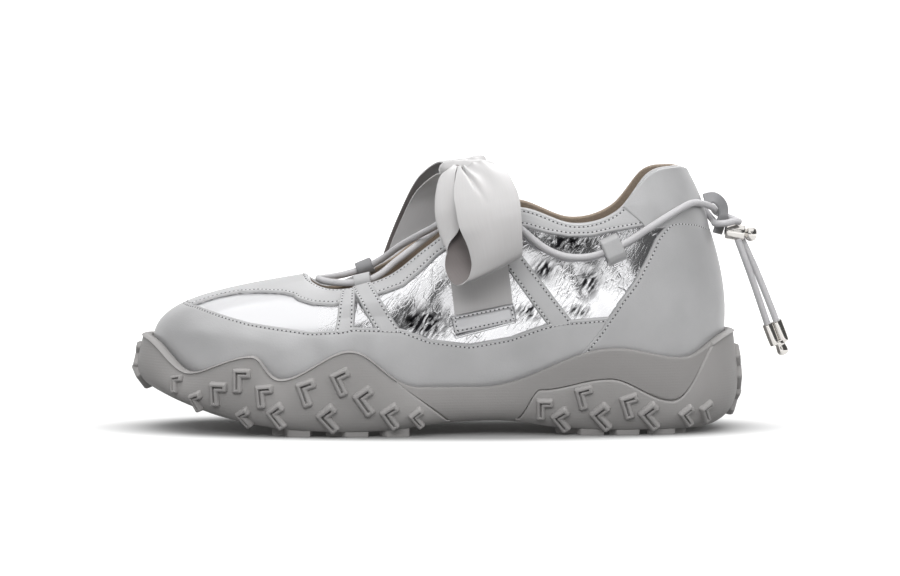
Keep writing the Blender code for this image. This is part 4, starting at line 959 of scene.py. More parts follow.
def sole_side(u, h):
    """The outside of the sole, from the bottom edge at h = 0 to the rim at h = 1."""
    out = outward(u)
    foot = spline(FEATHER, u) * np.array([1.0, 1.0, 0.0])
    bottom = spline(SHAPE["bottom"], u)
    rim = rim_line(u, RIM_THICKNESS)
    height = rim[..., 2] - bottom
    side = spline(SHAPE["side"], u)[..., None]
    tuck = spline(SHAPE["tuck"], u)[..., None]
    edge = foot + out * (side - tuck) + level(bottom)
    belly = foot + out * (side + 0.6) + level(bottom + 0.16 * height)
    shoulder = rim + out * 1.2 - level(0.32 * height)
    return bezier((edge, belly, shoulder, rim), h)


def seam_height(u):
    """Top of the outsole at the sole's side. The bottom edge stays bare at the waist."""
    rim, x = rim_height(u)
    bottom = spline(SHAPE["bottom"], u)
    front = np.interp(x, (FRONT_SEAM_TOP[0], FRONT_SEAM_FOOT[0]), (FRONT_SEAM_TOP[1], FRONT_SEAM_FOOT[1]))
    front = np.where(x <= FRONT_SEAM_TOP[0], rim + RIM_THICKNESS, front)
    heel = eased(HEEL_SEAM_WAVE, x)
    seam = np.where(x <= FRONT_SEAM_FOOT[0], front, np.where(x >= HEEL_SEAM_START, heel, bottom))
    return np.clip(seam, bottom, rim + RIM_THICKNESS)


def side_share(u, z):
    """h where the side of the sole reaches a height."""
    share = crossing(u, lambda h: sole_side(u, h)[..., 2] < z)
    whole = z >= rim_line(u, RIM_THICKNESS)[..., 2] - NEAR_EDGE
    none = z <= spline(SHAPE["bottom"], u) + NEAR_EDGE
    return np.where(whole, 1.0, np.where(none, 0.0, share))


def spine(u, z):
    """Middle line of the sole, where both sides close on each other."""
    line = spline(FEATHER, u)
    other = spline(FEATHER, ROUND - u)
    middle = (line + other) / 2
    middle[..., 0] *= SPINE_SHARE
    middle[..., 2] = z
    return middle


print("the sole's rim is from", round(float(eased(RIM_WAVE, np.arange(-120.0, 125.0)).min()), 1), "mm up")

# %% [markdown]
# The cup is one closed grid: from the middle line of the bottom out to the edge, up the side, over a
# rounded lip, down behind it along the upper and back to the middle. A groove runs along the line
# where the rubber ends, and reads as a dark seam. The insole lies on the cup's floor.

# %% Midsole cup and insole
# The groove over the rubber's edge: (distance above it, depth)
SEAM_GROOVE = ((0.15, 0.5), (0.45, 0.75), (0.8, 0.7), (1.1, 0.25), (1.5, 0.0))
# The insole's rounded edge: (inset from the feather, height)
INSOLE_EDGE = ((3.2, 0.0), (2.6, 0.4), (2.5, 1.6), (2.7, 2.4), (3.4, 2.9), (6.0, 3.0))


def with_lip(u, stand):
    """Points over the rounded lip of the rim, from its outside to the upper."""
    turn = np.linspace(0, math.pi, 9)[1:-1]
    half = (RIM_THICKNESS + stand) / 2
    return [rim_line(u, half * (1 + math.cos(a))) + level(0 * u + LIP_HEIGHT * math.sin(a)) for a in turn]


u = np.linspace(0, ROUND, 721)
bottom = spline(SHAPE["bottom"], u)
cup_floor = spline(FEATHER, u)[..., 2] - FLOOR_DROP
seam = side_share(u, seam_height(u))
wall = np.linalg.norm(sole_side(u, 0 * u + 1) - sole_side(u, 0 * u), axis=1)
rings = [spine(u, bottom)]
rings += [sole_side(u, k * seam) for k in np.linspace(0, 1, 8)]
for over, depth in SEAM_GROOVE:
    share = np.minimum(seam + (1 - seam) * over / wall, 1.0)
    grooved = np.where((seam > 0.02) & (seam < 0.98), depth, 0.0)
    rings.append(sole_side(u, share) - outward(u) * grooved[:, None])
over = SEAM_GROOVE[-1][0] / wall
rings += [sole_side(u, seam + (1 - seam) * (over + (1 - over) * k)) for k in np.linspace(0, 1, 22)[1:]]
rings += with_lip(u, 0.0)
rings += [on_upper(u, k * rim_share(u), CUP_LIFT) for k in (1.0, 0.6, 0.3)]
rings += [spline(FEATHER, u) * (1, 1, 0) + outward(u) * FLOOR_REACH + level(cup_floor), spine(u, cup_floor)]
midsole = grid_sheet("midsole_foam", np.stack(rings, axis=1))
weld(midsole)
settle(midsole, "sole_foam", (foam,), "midsole", angle=50)

low = spline(FEATHER, u)[..., 2]
flat = spline(FEATHER, u) * (1, 1, 0)
rings = [spine(u, low)]
for inset, rise in INSOLE_EDGE:
    rings.append(flat - outward(u) * inset + level(low + rise))
rings.append(spine(u, low + INSOLE_THICKNESS))
insole = grid_sheet("insole_cloth", np.stack(rings, axis=1))
weld(insole)
settle(insole, "lining", (lining,), "insole", angle=50)

# %% [markdown]
# Each outsole wraps the bottom and climbs the side to its seam. It stands 0.8 mm proud of the foam
# with a rounded edge, and at the toe, where it covers the whole side, it turns over the lip.

# %% Outsole skins
OUTSOLE_PROUD = 0.8
OUTSOLE_ROUND = 0.9


def outsole_skin(name, u):
    share = np.maximum(side_share(u, seam_height(u)), OUTSOLE_LEAST)
    whole = share >= 0.999
    out = outward(u)
    high = np.linalg.norm(sole_side(u, share) - sole_side(u, 0 * u), axis=1)
    rings = [spine(u, spline(SHAPE["bottom"], u))]
    for h in np.concatenate([np.linspace(0, 0.86, 26), np.linspace(0.88, 1, 12)]):
        reach = np.where(whole, 9.0, (1 - h) * high * 1.1)
        proud = OUTSOLE_PROUD * np.sqrt(1 - np.clip(1 - reach / OUTSOLE_ROUND, 0, 1) ** 2)
        rings.append(sole_side(u, h * share) + out * proud[:, None])
    top = sole_side(u, share)
    lip = with_lip(u, 2 * OUTSOLE_PROUD)
    for k, ring in enumerate(lip):
        rings.append(np.where(whole[:, None], ring, top - out * 0.15 * (k + 1)))
    skin = grid_sheet(name, np.stack(rings, axis=1))
    weld(skin, outside=False)
    return skin


def stretch(keep, start, end, count):
    """Places round the shoe whose side lies where keep says."""
    fine = np.linspace(start, end, 4000)
    kept = fine[keep(rim_height(np.mod(fine, ROUND))[1])]
    return np.linspace(kept[0], kept[-1], count)


front_skin = outsole_skin("front_outsole", stretch(lambda x: x <= FRONT_SEAM_FOOT[0], 0, ROUND, 461))
heel_skin = outsole_skin("heel_outsole", stretch(lambda x: x >= HEEL_SEAM_START, -HALF, HALF, 341))
print("outsole skins:", len(front_skin.data.polygons), len(heel_skin.data.polygons), "faces")

# %% [markdown]
# The lugs on the side are flat angles with rounded corners and a thin groove along both arms. One is
# modelled and copied on to the wall. An angle with insets would lose its corners to a subdivision
# surface, so its outline is drawn smaller and smaller in rings: up the sloping wall, over the round
# top edge and down into the groove, where the last ring closes on the middle line of the arms.

# %% One lug and one tread block
FRONT_LUGS = (
    (-112.0, 21.4, 10.0, 0.75), (-102.5, 15.0, 20.0, 0.8), (-93.5, 18.4, 0.0, 1.0),
    (-83.5, 24.4, 0.0, 1.0), (-81.5, 8.8, 30.0, 0.85), (-73.8, 17.9, 5.0, 0.95),
    (-67.5, 9.6, 35.0, 1.0), (-55.0, 19.6, 20.0, 1.05), (-45.5, 8.6, 40.0, 1.1),
    (-40.4, 24.2, 25.0, 1.05), (-30.0, 16.1, 35.0, 1.1), (-19.2, 9.4, 35.0, 1.0),
    (-8.2, 8.6, 40.0, 0.8),
)
HEEL_LUGS = (
    (45.6, 11.8, 0.0, 0.9), (54.0, 7.2, 35.0, 1.0), (63.0, 16.9, 15.0, 0.95),
    (71.3, 8.4, 40.0, 1.1), (82.5, 13.2, 18.0, 1.0), (92.0, 8.6, 40.0, 1.1),
    (107.5, 8.6, 40.0, 0.85), (115.5, 10.0, 35.0, 0.85),
)
TOE_TIP_LUG_HEIGHTS = (31.0, 22.5)
HEEL_BACK_LUG_HEIGHTS = (30.5, 22.0, 11.8)
LUG_WIDTH = 8.8
LUG_LENGTH = 11.2
LUG_ARM = 4.8

# Tread blocks under the sole: (x, y), with the middle ones large enough to rest on
TREAD_SIZE = (11.0, 10.0)
TREAD_PAD_SIZE = (18.0, 15.0)
FRONT_TREAD = (
    *((x, y) for x in (-66.0, -20.0) for y in (-29.0, 0.0, 26.0)), (-43.0, -31.0), (-43.0, 27.5),
)
HEEL_TREAD = (*((x, y) for x in (56.0, 102.0) for y in (-19.0, 18.0)), (79.0, -23.5), (79.0, 23.0))
FRONT_PAD = (-43.0, -2.0)
HEEL_PAD = (79.0, -0.8)
BLOCK_ROOT = 0.35
BLOCK_DEPTH = 1.35
EDGE_BLOCK_SIZE = (12.0, 7.0)
EDGE_BLOCK_HEIGHT = 6.0
EDGE_BLOCK_OUT = 0.6
END_LUG_TURN = 45.0
FRONT_EDGE_BLOCKS = (-60.6, -35.2, -17.7)
HEEL_EDGE_BLOCKS = (65.4, 80.7, 97.0)
LUG_ROOT = 1.2
LUG_CORNER = 1.5
# Rings of a lug from its foot to its groove: (inset, height)
LUG_RINGS = (
    (0.0, -LUG_ROOT), (0.15, 0.75), (0.3, 1.35), (0.55, 1.95), (0.9, 2.35),
    (1.3, 2.5), (1.85, 2.5), (2.0, 2.35), (2.08, 1.0), (LUG_ARM / 2, 0.7),
)


def read_model(piece):
    """Corners in millimetres and faces of a model, which is then removed."""
    bpy.ops.object.mode_set(mode="OBJECT")
    points = np.array([v.co for v in piece.data.vertices]) / MM
    faces = [tuple(p.vertices) for p in piece.data.polygons]
    bpy.data.objects.remove(piece)
    return points, faces


def angle_outline(inset):
    """Outline of a lug, this far inside its edge, with five points round each corner."""
    w, h, arm = LUG_WIDTH / 2 - inset, LUG_LENGTH / 2 - inset, LUG_ARM - 2 * inset
    corners = np.array([(-w, -h), (arm - w, -h), (arm - w, h - arm), (w, h - arm), (w, h), (-w, h)])
    made = []
    for k, corner in enumerate(corners):
        size = min(0.45 * arm, max(LUG_CORNER - inset, 0.12)) if k != 2 else min(0.45 * arm, 0.4)
        ways = [other - corner for other in (corners[k - 1], corners[(k + 1) % 6])]
        back, on = (size * way / max(np.linalg.norm(way), 0.001) for way in ways)
        made += [corner + back * (1 - s) ** 2 + on * s**2 for s in np.linspace(0, 1, 5)]
    return np.array(made + made[:1])


def make_lug():
    """A lug on its wall: rings of the outline, closed in the groove."""
    rings = [np.pad(angle_outline(inset), ((0, 0), (0, 1)), constant_values=z) for inset, z in LUG_RINGS]
    lug = grid_sheet("lug", np.array(rings))
    weld(lug)
    return read_model(lug)


def make_block():
    """A tread block with round corners, 2 mm long and wide, that stands 1 mm below the sole."""
    outline = ((-1, -1), (-0.7, 0), (-1, 1), (0.7, 1), (1, 0), (0.7, -1))
    bpy.ops.object.select_all(action="DESELECT")
    bpy.ops.mesh.primitive_circle_add(vertices=6, fill_type="NGON")
    block = bpy.context.object
    for corner, (x, y) in zip(block.data.vertices, outline):
        corner.co = (x * MM, y * MM, BLOCK_ROOT * MM)
    only(block)
    bpy.ops.object.mode_set(mode="EDIT")
    bpy.ops.mesh.select_all(action="SELECT")
    bpy.ops.mesh.bevel(affect="VERTICES", offset=0.16 * MM, segments=3)
    bpy.ops.mesh.select_all(action="SELECT")
    bpy.ops.mesh.normals_make_consistent(inside=False)
    bpy.ops.mesh.select_all(action="SELECT")
    bpy.ops.mesh.extrude_region_move(TRANSFORM_OT_translate={"value": (0, 0, -1.15 * MM)})
    bpy.ops.mesh.inset(thickness=0.05 * MM, depth=0.14 * MM)
    points, faces = read_model(block)
    depth = np.maximum(BLOCK_ROOT - points[:, 2], 0.0)
    points[:, 2] = BLOCK_ROOT - depth / depth.max() * BLOCK_DEPTH
    return points, faces


lug_model = make_lug()
block_model = make_block()
print("lug:", len(lug_model[1]), "faces; tread block:", len(block_model[1]), "faces")

# %% [markdown]
# A lug's place is given in the side view. Its frame has a level axis towards the heel, an axis up the
# wall and the wall's normal. The tread blocks stand on the floor under the sole.

# %% Lugs and tread on the outsoles
def wall_frame(u, z):
    """Point, level direction towards the heel, upward direction and normal of the sole's side."""
    u = np.array(u, float)
    h = side_share(u, np.array(z, float))
    point = sole_side(u, h)
    along = sole_side(u + 0.02, h) - sole_side(u - 0.02, h)
    up = sole_side(u, h + 0.01) - sole_side(u, h - 0.01)
    normal = np.cross(up, along)
    normal /= np.linalg.norm(normal)
    level_way = np.cross(normal, (0.0, 0.0, 1.0))
    level_way /= np.linalg.norm(level_way)
    if level_way[0] < 0:
        level_way = -level_way
    upward = np.cross(level_way, normal)
    if upward[2] < 0:
        upward = -upward
    return point, level_way, upward, normal


def find_side(x, z, inner_side):
    """u where the sole's side passes x at a height."""
    end = ROUND - 0.05 if inner_side else 0.05
    u = np.linspace(HALF, end, 200)
    reach = sole_side(u, side_share(u, np.full_like(u, z)))[:, 0]
    return float(np.interp(x, reach, u))


def add_copies(name, copies):
    """One mesh of many copies; each copy is a model and its frame: place, three axes and scale."""
    points, faces = [], []
    for (corners, sides), place, axes, scale in copies:
        first = sum(len(p) for p in points)
        axes = np.array(axes)
        points.append(place + (corners * scale) @ axes)
        turned = np.linalg.det(axes) < 0
        faces += [tuple(first + i for i in (side[::-1] if turned else side)) for side in sides]
    mesh = bpy.data.meshes.new(name)
    mesh.from_pydata(np.concatenate(points) * MM, [], faces)
    made = bpy.data.objects.new(name, mesh)
    bpy.context.scene.collection.objects.link(made)
    return made


def lugs_and_tread(table, end_u, end_heights, tread, pad, edge_blocks):
    """Copies for one outsole: lugs on both sides and at the end of the shoe, and tread blocks."""
    places = [(find_side(x, z, inner), z, *rest) for inner in (False, True) for x, z, *rest in table]
    places += [(end_u, z, END_LUG_TURN, 1.0) for z in end_heights]
    copies = []
    for u, z, turn, size in places:
        point, along, up, normal = wall_frame(u, z)
        c, s = math.cos(math.radians(turn)), math.sin(math.radians(turn))
        axes = (along * c + up * s, up * c - along * s, normal)
        copies.append((lug_model, point, axes, np.array((size, size, 1.0))))
    for (x, y), (long, wide) in [(place, TREAD_SIZE) for place in tread] + [(pad, TREAD_PAD_SIZE)]:
        foot = np.interp(x, column(LAST, LAST_COLUMNS, "feather_x"), column(SOLE, SOLE_COLUMNS, "bottom"))
        copies.append((block_model, np.array((x, y, foot)), np.eye(3), np.array((long / 2, wide / 2, foot))))
    for x, inner in [(x, inner) for x in edge_blocks for inner in (False, True)]:
        u = np.array(find_side(x, EDGE_BLOCK_HEIGHT, inner))
        edge, foot = sole_side(u, np.array(0.0)), float(spline(SHAPE["bottom"], u))
        out = outward(u)
        axes = np.array([np.cross(out, (0, 0, 1)), out, (0, 0, 1)])
        size = np.array((*np.array(EDGE_BLOCK_SIZE) / 2, foot))
        copies.append((block_model, edge - out * (size[1] - EDGE_BLOCK_OUT), axes, size))
    return copies


FRONT_PARTS = (FRONT_LUGS, float(HALF), TOE_TIP_LUG_HEIGHTS, FRONT_TREAD, FRONT_PAD, FRONT_EDGE_BLOCKS)
HEEL_PARTS = (HEEL_LUGS, 0.0, HEEL_BACK_LUG_HEIGHTS, HEEL_TREAD, HEEL_PAD, HEEL_EDGE_BLOCKS)
for skin, node, parts in (
    (front_skin, "outsole_front", FRONT_PARTS),
    (heel_skin, "outsole_heel", HEEL_PARTS),
):
    lugs = add_copies(f"{node}_lugs", lugs_and_tread(*parts))
    only(skin)
    lugs.select_set(True)
    bpy.ops.object.join()
    settle(skin, "sole_rubber", (rubber,), node, angle=42)

# %% [markdown]
# The lace is one long elastic cord: it crosses the throat, runs through leather loops, goes along
# each quarter and round the heel to the lock. It lies against the shoe, so its route on the quarter
# is given in the side view with a height over the last.

# %% Lace on the shoe
THROAT_LACE = (
    (11.0, -21.0, 97.5), (5.0, -15.0, 93.0), (-2.0, -8.0, 88.2), (-8.5, -0.5, 84.4), (-17.0, 8.5, 79.0),
    (-25.0, 15.6, 73.0), (-32.5, 18.8, 68.8), (-41.0, 16.2, 66.2), (-48.6, 9.5, 65.2), (-52.4, 0.5, 65.4),
    (-48.6, -8.5, 64.6), (-41.0, -15.4, 64.4), (-32.5, -18.4, 65.2), (-25.5, -16.8, 68.0),
    (-18.5, -10.5, 73.4), (-9.0, 0.5, 80.2), (-1.0, 8.0, 86.2), (5.0, 14.5, 91.6), (11.0, 19.5, 96.4),
)
# Lace along the quarter in the side view, from the topline to the heel: (x, z, lift)
SIDE_LACE = (
    (21.0, 96.4, 3.9), (28.0, 92.6, 3.9), (35.0, 88.0, 3.9), (41.0, 83.2, 3.4), (47.0, 79.4, 2.1),
    (55.0, 76.6, 2.1), (64.5, 76.6, 2.1), (74.0, 79.6, 2.1), (82.0, 83.4, 2.8),
    (90.5, 89.0, 4.4), (99.0, 94.4, 4.6), (106.0, 97.6, 4.6),
)
# Lace round the heel to the lock, from each side: (x, y, z)
HEEL_LACE_OUTER = (
    (115.6, -9.6, 98.2), (119.4, -4.6, 96.6), (120.8, 0.6, 95.0), (122.0, 5.0, 94.0),
    (125.4, 6.6, 92.4), (128.8, 4.8, 91.2), (131.2, 2.2, 90.2),
)
HEEL_LACE_INNER = (
    (114.6, 10.6, 97.0), (118.8, 6.8, 92.4), (120.4, 0.8, 90.2), (120.8, -4.8, 89.6),
    (124.8, -6.8, 89.8), (128.8, -4.8, 90.6), (131.2, -2.2, 90.2),
)
HEEL_LOOP_ARC = ((115.9, 99.9), (120.4, 100.6), (123.8, 97.6), (124.4, 93.2), (123.0, 88.6), (121.8, 84.9))
HEEL_LOOP_WIDTH = 7.0
HEEL_LOOP_TURN = math.radians(36.0)


def side_route(inner):
    """The lace from the topline along one quarter and round the heel."""
    x, z, lift = np.array(SIDE_LACE).T
    run = on_upper(*on_side(x, z, inner), lift)
    rest = np.array(HEEL_LACE_INNER if inner else HEEL_LACE_OUTER)
    return cord_route(np.vstack([run, rest]))


for node, route in (
    ("lace_throat", cord_route(THROAT_LACE)),
    ("lace_side_outer", side_route(False)),
    ("lace_side_inner", side_route(True)),
):
    made = round_cord(f"{node}_cord", route)
    made.data.materials.append(cord_knit)
    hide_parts(node)
    print(made.name, round(run_length(route)[-1]), "mm")
for strand, route in tails.values():
    strand.data.materials.append(cord_knit)

# %% [markdown]
# Two rings of leather hold the lace at the throat and an arched band holds it behind the heel. A
# ring is a short tube round the lace: a cylinder without caps, thickened and with its edges rounded.

# %% Throat rings and heel loop
THROAT_LOOP_WIDTH = 7.2
RING_INSIDE = LACE_RADIUS + 0.9
# Which of the throat lace's points each ring is on
RING_POINT = {"outer": 12, "inner": 6}
ROUND_EDGE = {"segments": 3, "limit_method": "ANGLE", "angle_limit": math.radians(50)}
for side, at in RING_POINT.items():
    way = Vector(THROAT_LACE[at + 1]) - Vector(THROAT_LACE[at - 1])
    turn = Vector((0, 0, 1)).rotation_difference(way).to_matrix().to_4x4()
    bpy.ops.object.select_all(action="DESELECT")
    bpy.ops.mesh.primitive_cylinder_add(
        vertices=40, radius=RING_INSIDE * MM, depth=THROAT_LOOP_WIDTH * MM, end_fill_type="NOTHING"
    )
    ring = bpy.context.object
    ring.name = ring.data.name = f"throat_ring_{side}"
    ring.data.transform(Matrix.Translation(Vector(THROAT_LACE[at]) * MM) @ turn)
    change(ring, "SOLIDIFY", thickness=LEATHER * MM, offset=1.0)
    change(ring, "BEVEL", width=0.35 * MM, **ROUND_EDGE)
    # The inner ring stands in shade on the far side, so it gets the leather darkened as painted shade
    settle(ring, "grey_leather", (painted_shade_leather if side == "inner" else band_leather,), f"throat_loop_{side}")

arc = smooth_path([(x, 0.0, z) for x, z in HEEL_LOOP_ARC], 10)
ahead = np.gradient(arc, axis=0)
inward = np.cross((0.0, 1.0, 0.0), ahead / np.linalg.norm(ahead, axis=1, keepdims=True))
across = np.array((0.0, math.cos(HEEL_LOOP_TURN), 0.0)) - inward * math.sin(HEEL_LOOP_TURN)
places = np.linspace(-0.5, 0.5, 9)[:, None] * HEEL_LOOP_WIDTH
heel_loop = grid_sheet("heel_lace_loop", arc[:, None] + across[:, None] * places)
change(heel_loop, "SOLIDIFY", thickness=LEATHER * MM, offset=0.0)
change(heel_loop, "BEVEL", width=0.4 * MM, **ROUND_EDGE)
# The heel loop gets the leather darkened as painted shade
settle(heel_loop, "grey_leather", (painted_shade_leather,), "heel_loop")

# %% [markdown]
# The lock is a turned and plated barrel with a push button. The cap on the strands' ends has a barrel
# for each strand and a knob between them. A profile is carried round its axis on a grid, its first
# and last rows weld, and a Boolean union makes the cap one shape.

# %% Cord lock and cap
LOCK_CENTRE = (131.8, 0.0, 85.4)
LOCK_TILT = math.radians(8.0)
LOCK_PROFILE = (
    (-7.0, 0.0), (-6.6, 2.6), (-5.4, 3.6), (1.0, 3.6), (1.8, 2.9), (2.4, 2.0), (3.4, 2.9), (5.2, 3.3),
    (7.0, 2.2), (7.6, 0.0),
)
BARREL_PROFILE = ((0.3, 0.0), (0.3, 1.9), (0.0, 2.1), (0.15, 2.4), (8.4, 2.3), (9.2, 1.6), (9.4, 0.0))
KNOB_PROFILE = ((7.6, 0.0), (7.8, 2.2), (9.4, 2.5), (10.2, 2.3), (12.6, 2.6), (14.2, 1.9), (14.8, 0.0))
TIP_WAY = (0.36, 0.0, -0.933)
TIP_GAP = 0.4


def turned(name, profile, frame_matrix):
    """A turned piece: the profile holds (distance along the axis, radius)."""
    line = smooth_path(profile, 5)
    radius = np.maximum(line[:, 1], 0)
    angles = np.linspace(0, math.tau, 49)[:, None]
    points = np.stack([line[:, 0] + 0 * angles, radius * np.cos(angles), radius * np.sin(angles)], axis=2)
    made = grid_sheet(name, points)
    made.data.transform(frame_matrix)
    weld(made)
    return made


lock_frame = Matrix.Translation(Vector(LOCK_CENTRE) * MM) @ Matrix.Rotation(LOCK_TILT, 4, "Y")
lock = turned("lace_lock", LOCK_PROFILE, lock_frame)
settle(lock, "chrome", (plated,), "cord_lock", angle=35)
way = Vector(TIP_WAY).normalized()
tip_turn = Vector((1, 0, 0)).rotation_difference(way).to_matrix().to_4x4()
ends = [Vector(TAIL_OUTER[-1]), Vector(TAIL_INNER[-1])]
middle = (ends[0] + ends[1]) / 2
tip = turned("lace_end_cap", KNOB_PROFILE, Matrix.Translation((middle + way * TIP_GAP) * MM) @ tip_turn)
for end in ends:
    barrel = turned("barrel", BARREL_PROFILE, Matrix.Translation((end + way * TIP_GAP) * MM) @ tip_turn)
    change(tip, "BOOLEAN", object=barrel, operation="UNION", solver="EXACT")
    bpy.data.objects.remove(barrel)
settle(tip, "chrome", (plated,), "cord_tip", angle=35)

# %% [markdown]
# A satin ribbon, 25 mm wide, is sewn to each quarter under a small foil patch, goes up over the
# instep and is tied in a bow. Ribbon bends but doesn't stretch, so each run is a grid along a listed
# line, with its width direction given. Near the knot it is gathered: it narrows into pleats.

# %% Ribbon from the quarters
RIBBON_WIDTH = 25.0
RIBBON_THICK = 0.5
# The inner bow loop: its middle line, and the way across it
INNER_LOOP = (
    ((13.0, 5.9, 115.4), (0.98, -0.10, 0.0)), ((9.0, 16.0, 117.0), (0.96, -0.15, 0.15)),
    ((0.5, 33.0, 111.0), (0.90, -0.12, 0.40)), ((-7.0, 45.0, 98.0), (0.86, -0.08, 0.50)),
    ((-13.0, 51.5, 84.0), (0.84, -0.05, 0.53)), ((-16.5, 52.5, 73.0), (0.84, -0.05, 0.53)),
    ((-17.0, 48.5, 68.6), (0.84, -0.05, 0.53)), ((-14.5, 44.5, 73.0), (0.84, -0.05, 0.53)),
    ((-10.0, 41.0, 86.0), (0.85, -0.08, 0.50)), ((-1.0, 33.5, 103.0), (0.90, -0.12, 0.40)),
    ((8.0, 17.0, 110.6), (0.96, -0.10, 0.15)), ((12.5, 6.3, 110.8), (0.98, -0.10, 0.0)),
)
KNOT_CENTRE = (13.0, 0.0, 112.8)
KNOT_SIZE = (26.0, 13.0, 9.0)
# Ribbon strap up the quarter in the side view: (x, z, lift), then free to the knot
RIBBON_RUN = (
    (19.6, 47.6, 0.4), (19.4, 54.0, 0.5), (18.6, 62.0, 1.2), (17.6, 70.0, 2.4),
    (16.8, 78.0, 4.2), (16.2, 85.0, 6.2), (15.8, 91.0, 7.2),
)
RIBBON_TO_KNOT = (
    (15.4, 34.0, 97.6), (15.0, 26.0, 103.0), (14.6, 15.0, 106.0), (14.0, 8.0, 107.2), (13.6, 1.0, 107.5),
)
PATCH_LOW = (20.3, 46.7)
PATCH_HIGH = (18.7, 54.4)
PATCH_WIDTH = 27.0
PATCH_LIFT = 1.9
RIBBON_LEAN = 0.1


def map_ribbon(sheet, long, wide):
    """Puts the ribbon's own map in millimetres, first along it and then across."""
    layer = sheet.data.uv_layers.active.data
    flat = np.zeros(len(layer) * 2, np.float32)
    layer.foreach_get("uv", flat)
    across, along = flat.reshape(-1, 2).T
    layer.foreach_set("uv", np.stack([along * long, across * wide], axis=1).ravel())


def finish_ribbon(sheet, length, node):
    map_ribbon(sheet, length, RIBBON_WIDTH)
    for finish in (satin_face, satin_back_and_painted_shade):
        sheet.data.materials.append(finish)
    change(sheet, "SOLIDIFY", thickness=RIBBON_THICK * MM, offset=-1.0, material_offset=1)
    settle(sheet, "ribbon", (), node, angle=60)


ACROSS = np.linspace(-0.5, 0.5, 19)
for side, inner, sign in (("outer", False, -1.0), ("inner", True, 1.0)):
    x, z, lift = np.array(RIBBON_RUN).T
    c = ACROSS * RIBBON_WIDTH * -sign
    run = on_upper(*on_side(x[:, None] + c, z[:, None] + RIBBON_LEAN * c, inner), lift[:, None])
    free = np.array([[(fx + k, sign * fy, fz) for k in c] for fx, fy, fz in RIBBON_TO_KNOT])
    lines = np.concatenate([run, free])
    made = smooth_path(lines.reshape(len(lines), -1), 8).reshape(-1, len(c), 3)
    length = run_length(made[:, len(c) // 2])[-1]
    sheet = grid_sheet(f"ribbon_run_{side}", made)
    finish_ribbon(sheet, length, f"ribbon_strap_{side}")
    print("ribbon run", side, round(length), "mm")

# %% [markdown]
# Each bow loop goes out from the knot, down the side of the shoe and back. The loop on the outer side
# turns over as it falls: its toe edge curls forward, so the loop opens as a drop. Straight rungs
# can't curl, so each rung is an arc from a toe edge to a heel edge, with a point between that pulls
# it. A fold runs down its face from the knot. The two faces of satin differ, so Solidify gives the
# inside of the loop the duller back of the cloth, whose darker tone is also painted shade.

# %% Bow loops and knot
BOW_RUNGS = (
    ((8.5, -8.0, 115.2), (2.0, -6.0, 115.0), (16.0, -5.5, 113.5)),
    ((7.4, -22.0, 112.6), (-8.0, -18.0, 111.0), (14.0, -15.0, 108.6)),
    ((6.9, -35.0, 106.2), (-11.5, -31.0, 105.0), (13.0, -29.0, 102.4)),
    ((7.7, -43.0, 98.4), (-13.0, -40.0, 98.0), (13.0, -37.0, 95.4)),
    ((8.9, -47.0, 89.8), (-12.0, -44.0, 91.0), (14.0, -41.0, 89.0)),
    ((4.8, -49.0, 83.6), (-5.0, -46.0, 84.0), (18.0, -43.0, 82.0)),
    ((3.1, -50.5, 77.8), (6.0, -48.5, 78.0), (24.0, -45.0, 79.0)),
    ((3.1, -52.0, 72.6), (12.0, -51.0, 74.0), (28.5, -46.5, 77.0)),
    ((5.0, -54.5, 68.2), (17.0, -54.0, 71.5), (32.5, -48.5, 77.0)),
    ((8.2, -57.0, 65.9), (21.0, -57.0, 70.0), (35.0, -51.5, 77.5)),
    ((11.9, -59.5, 68.1), (24.0, -60.0, 72.5), (35.6, -54.0, 80.0)),
    ((13.8, -60.0, 72.8), (25.0, -61.5, 77.0), (35.6, -55.0, 84.0)),
    ((13.9, -60.0, 77.0), (25.0, -62.0, 82.0), (35.5, -55.0, 88.0)),
    ((12.2, -59.0, 83.3), (24.0, -61.5, 88.0), (35.3, -54.0, 93.0)),
    ((9.0, -57.0, 90.6), (22.0, -60.0, 94.0), (35.0, -52.0, 97.8)),
    ((7.4, -52.0, 98.8), (21.0, -56.0, 100.5), (34.4, -48.5, 102.4)),
    ((6.6, -45.0, 104.2), (20.0, -48.5, 106.5), (32.8, -41.0, 107.2)),
    ((7.4, -29.0, 111.0), (18.0, -32.0, 113.5), (29.0, -25.0, 113.4)),
    ((8.5, -10.0, 115.3), (14.0, -9.0, 117.5), (22.4, -8.0, 116.8)),
)
PLEAT_REACH = 7.0
PLEAT_DEPTH = 0.4
FOLD_DEPTH = 3.2
FOLD_REACH = 40.0
FOLD_START, FOLD_SLANT = 0.12, 0.3
FOLD_HOLLOW = 1.6
HOLLOW_PLACE, HOLLOW_WIDTH = 5.0, 4.5
KNOT_WIDTH = 0.66
KNOT_REACH = 26.0
KNOT_GATHER = 0.03
KNOT_MAP = (30.0, 26.0)
LOOP_COLUMNS = 65


def rungs_of(rows):
    """Rungs of a band with straight rungs, pinched towards the knot at both its ends."""
    path = smooth_path([place for place, _ in rows], 12)
    across = smooth_path([way for _, way in rows], 12)
    across = across / np.linalg.norm(across, axis=1, keepdims=True)
    far = run_length(path)
    near = np.clip(np.minimum(far, far[-1] - far) / KNOT_REACH, 0, 1)
    half = across * (RIBBON_WIDTH / 2 * (KNOT_WIDTH + (1 - KNOT_WIDTH) * near**0.7))[:, None]
    return np.stack([path - half, path, path + half], axis=1)


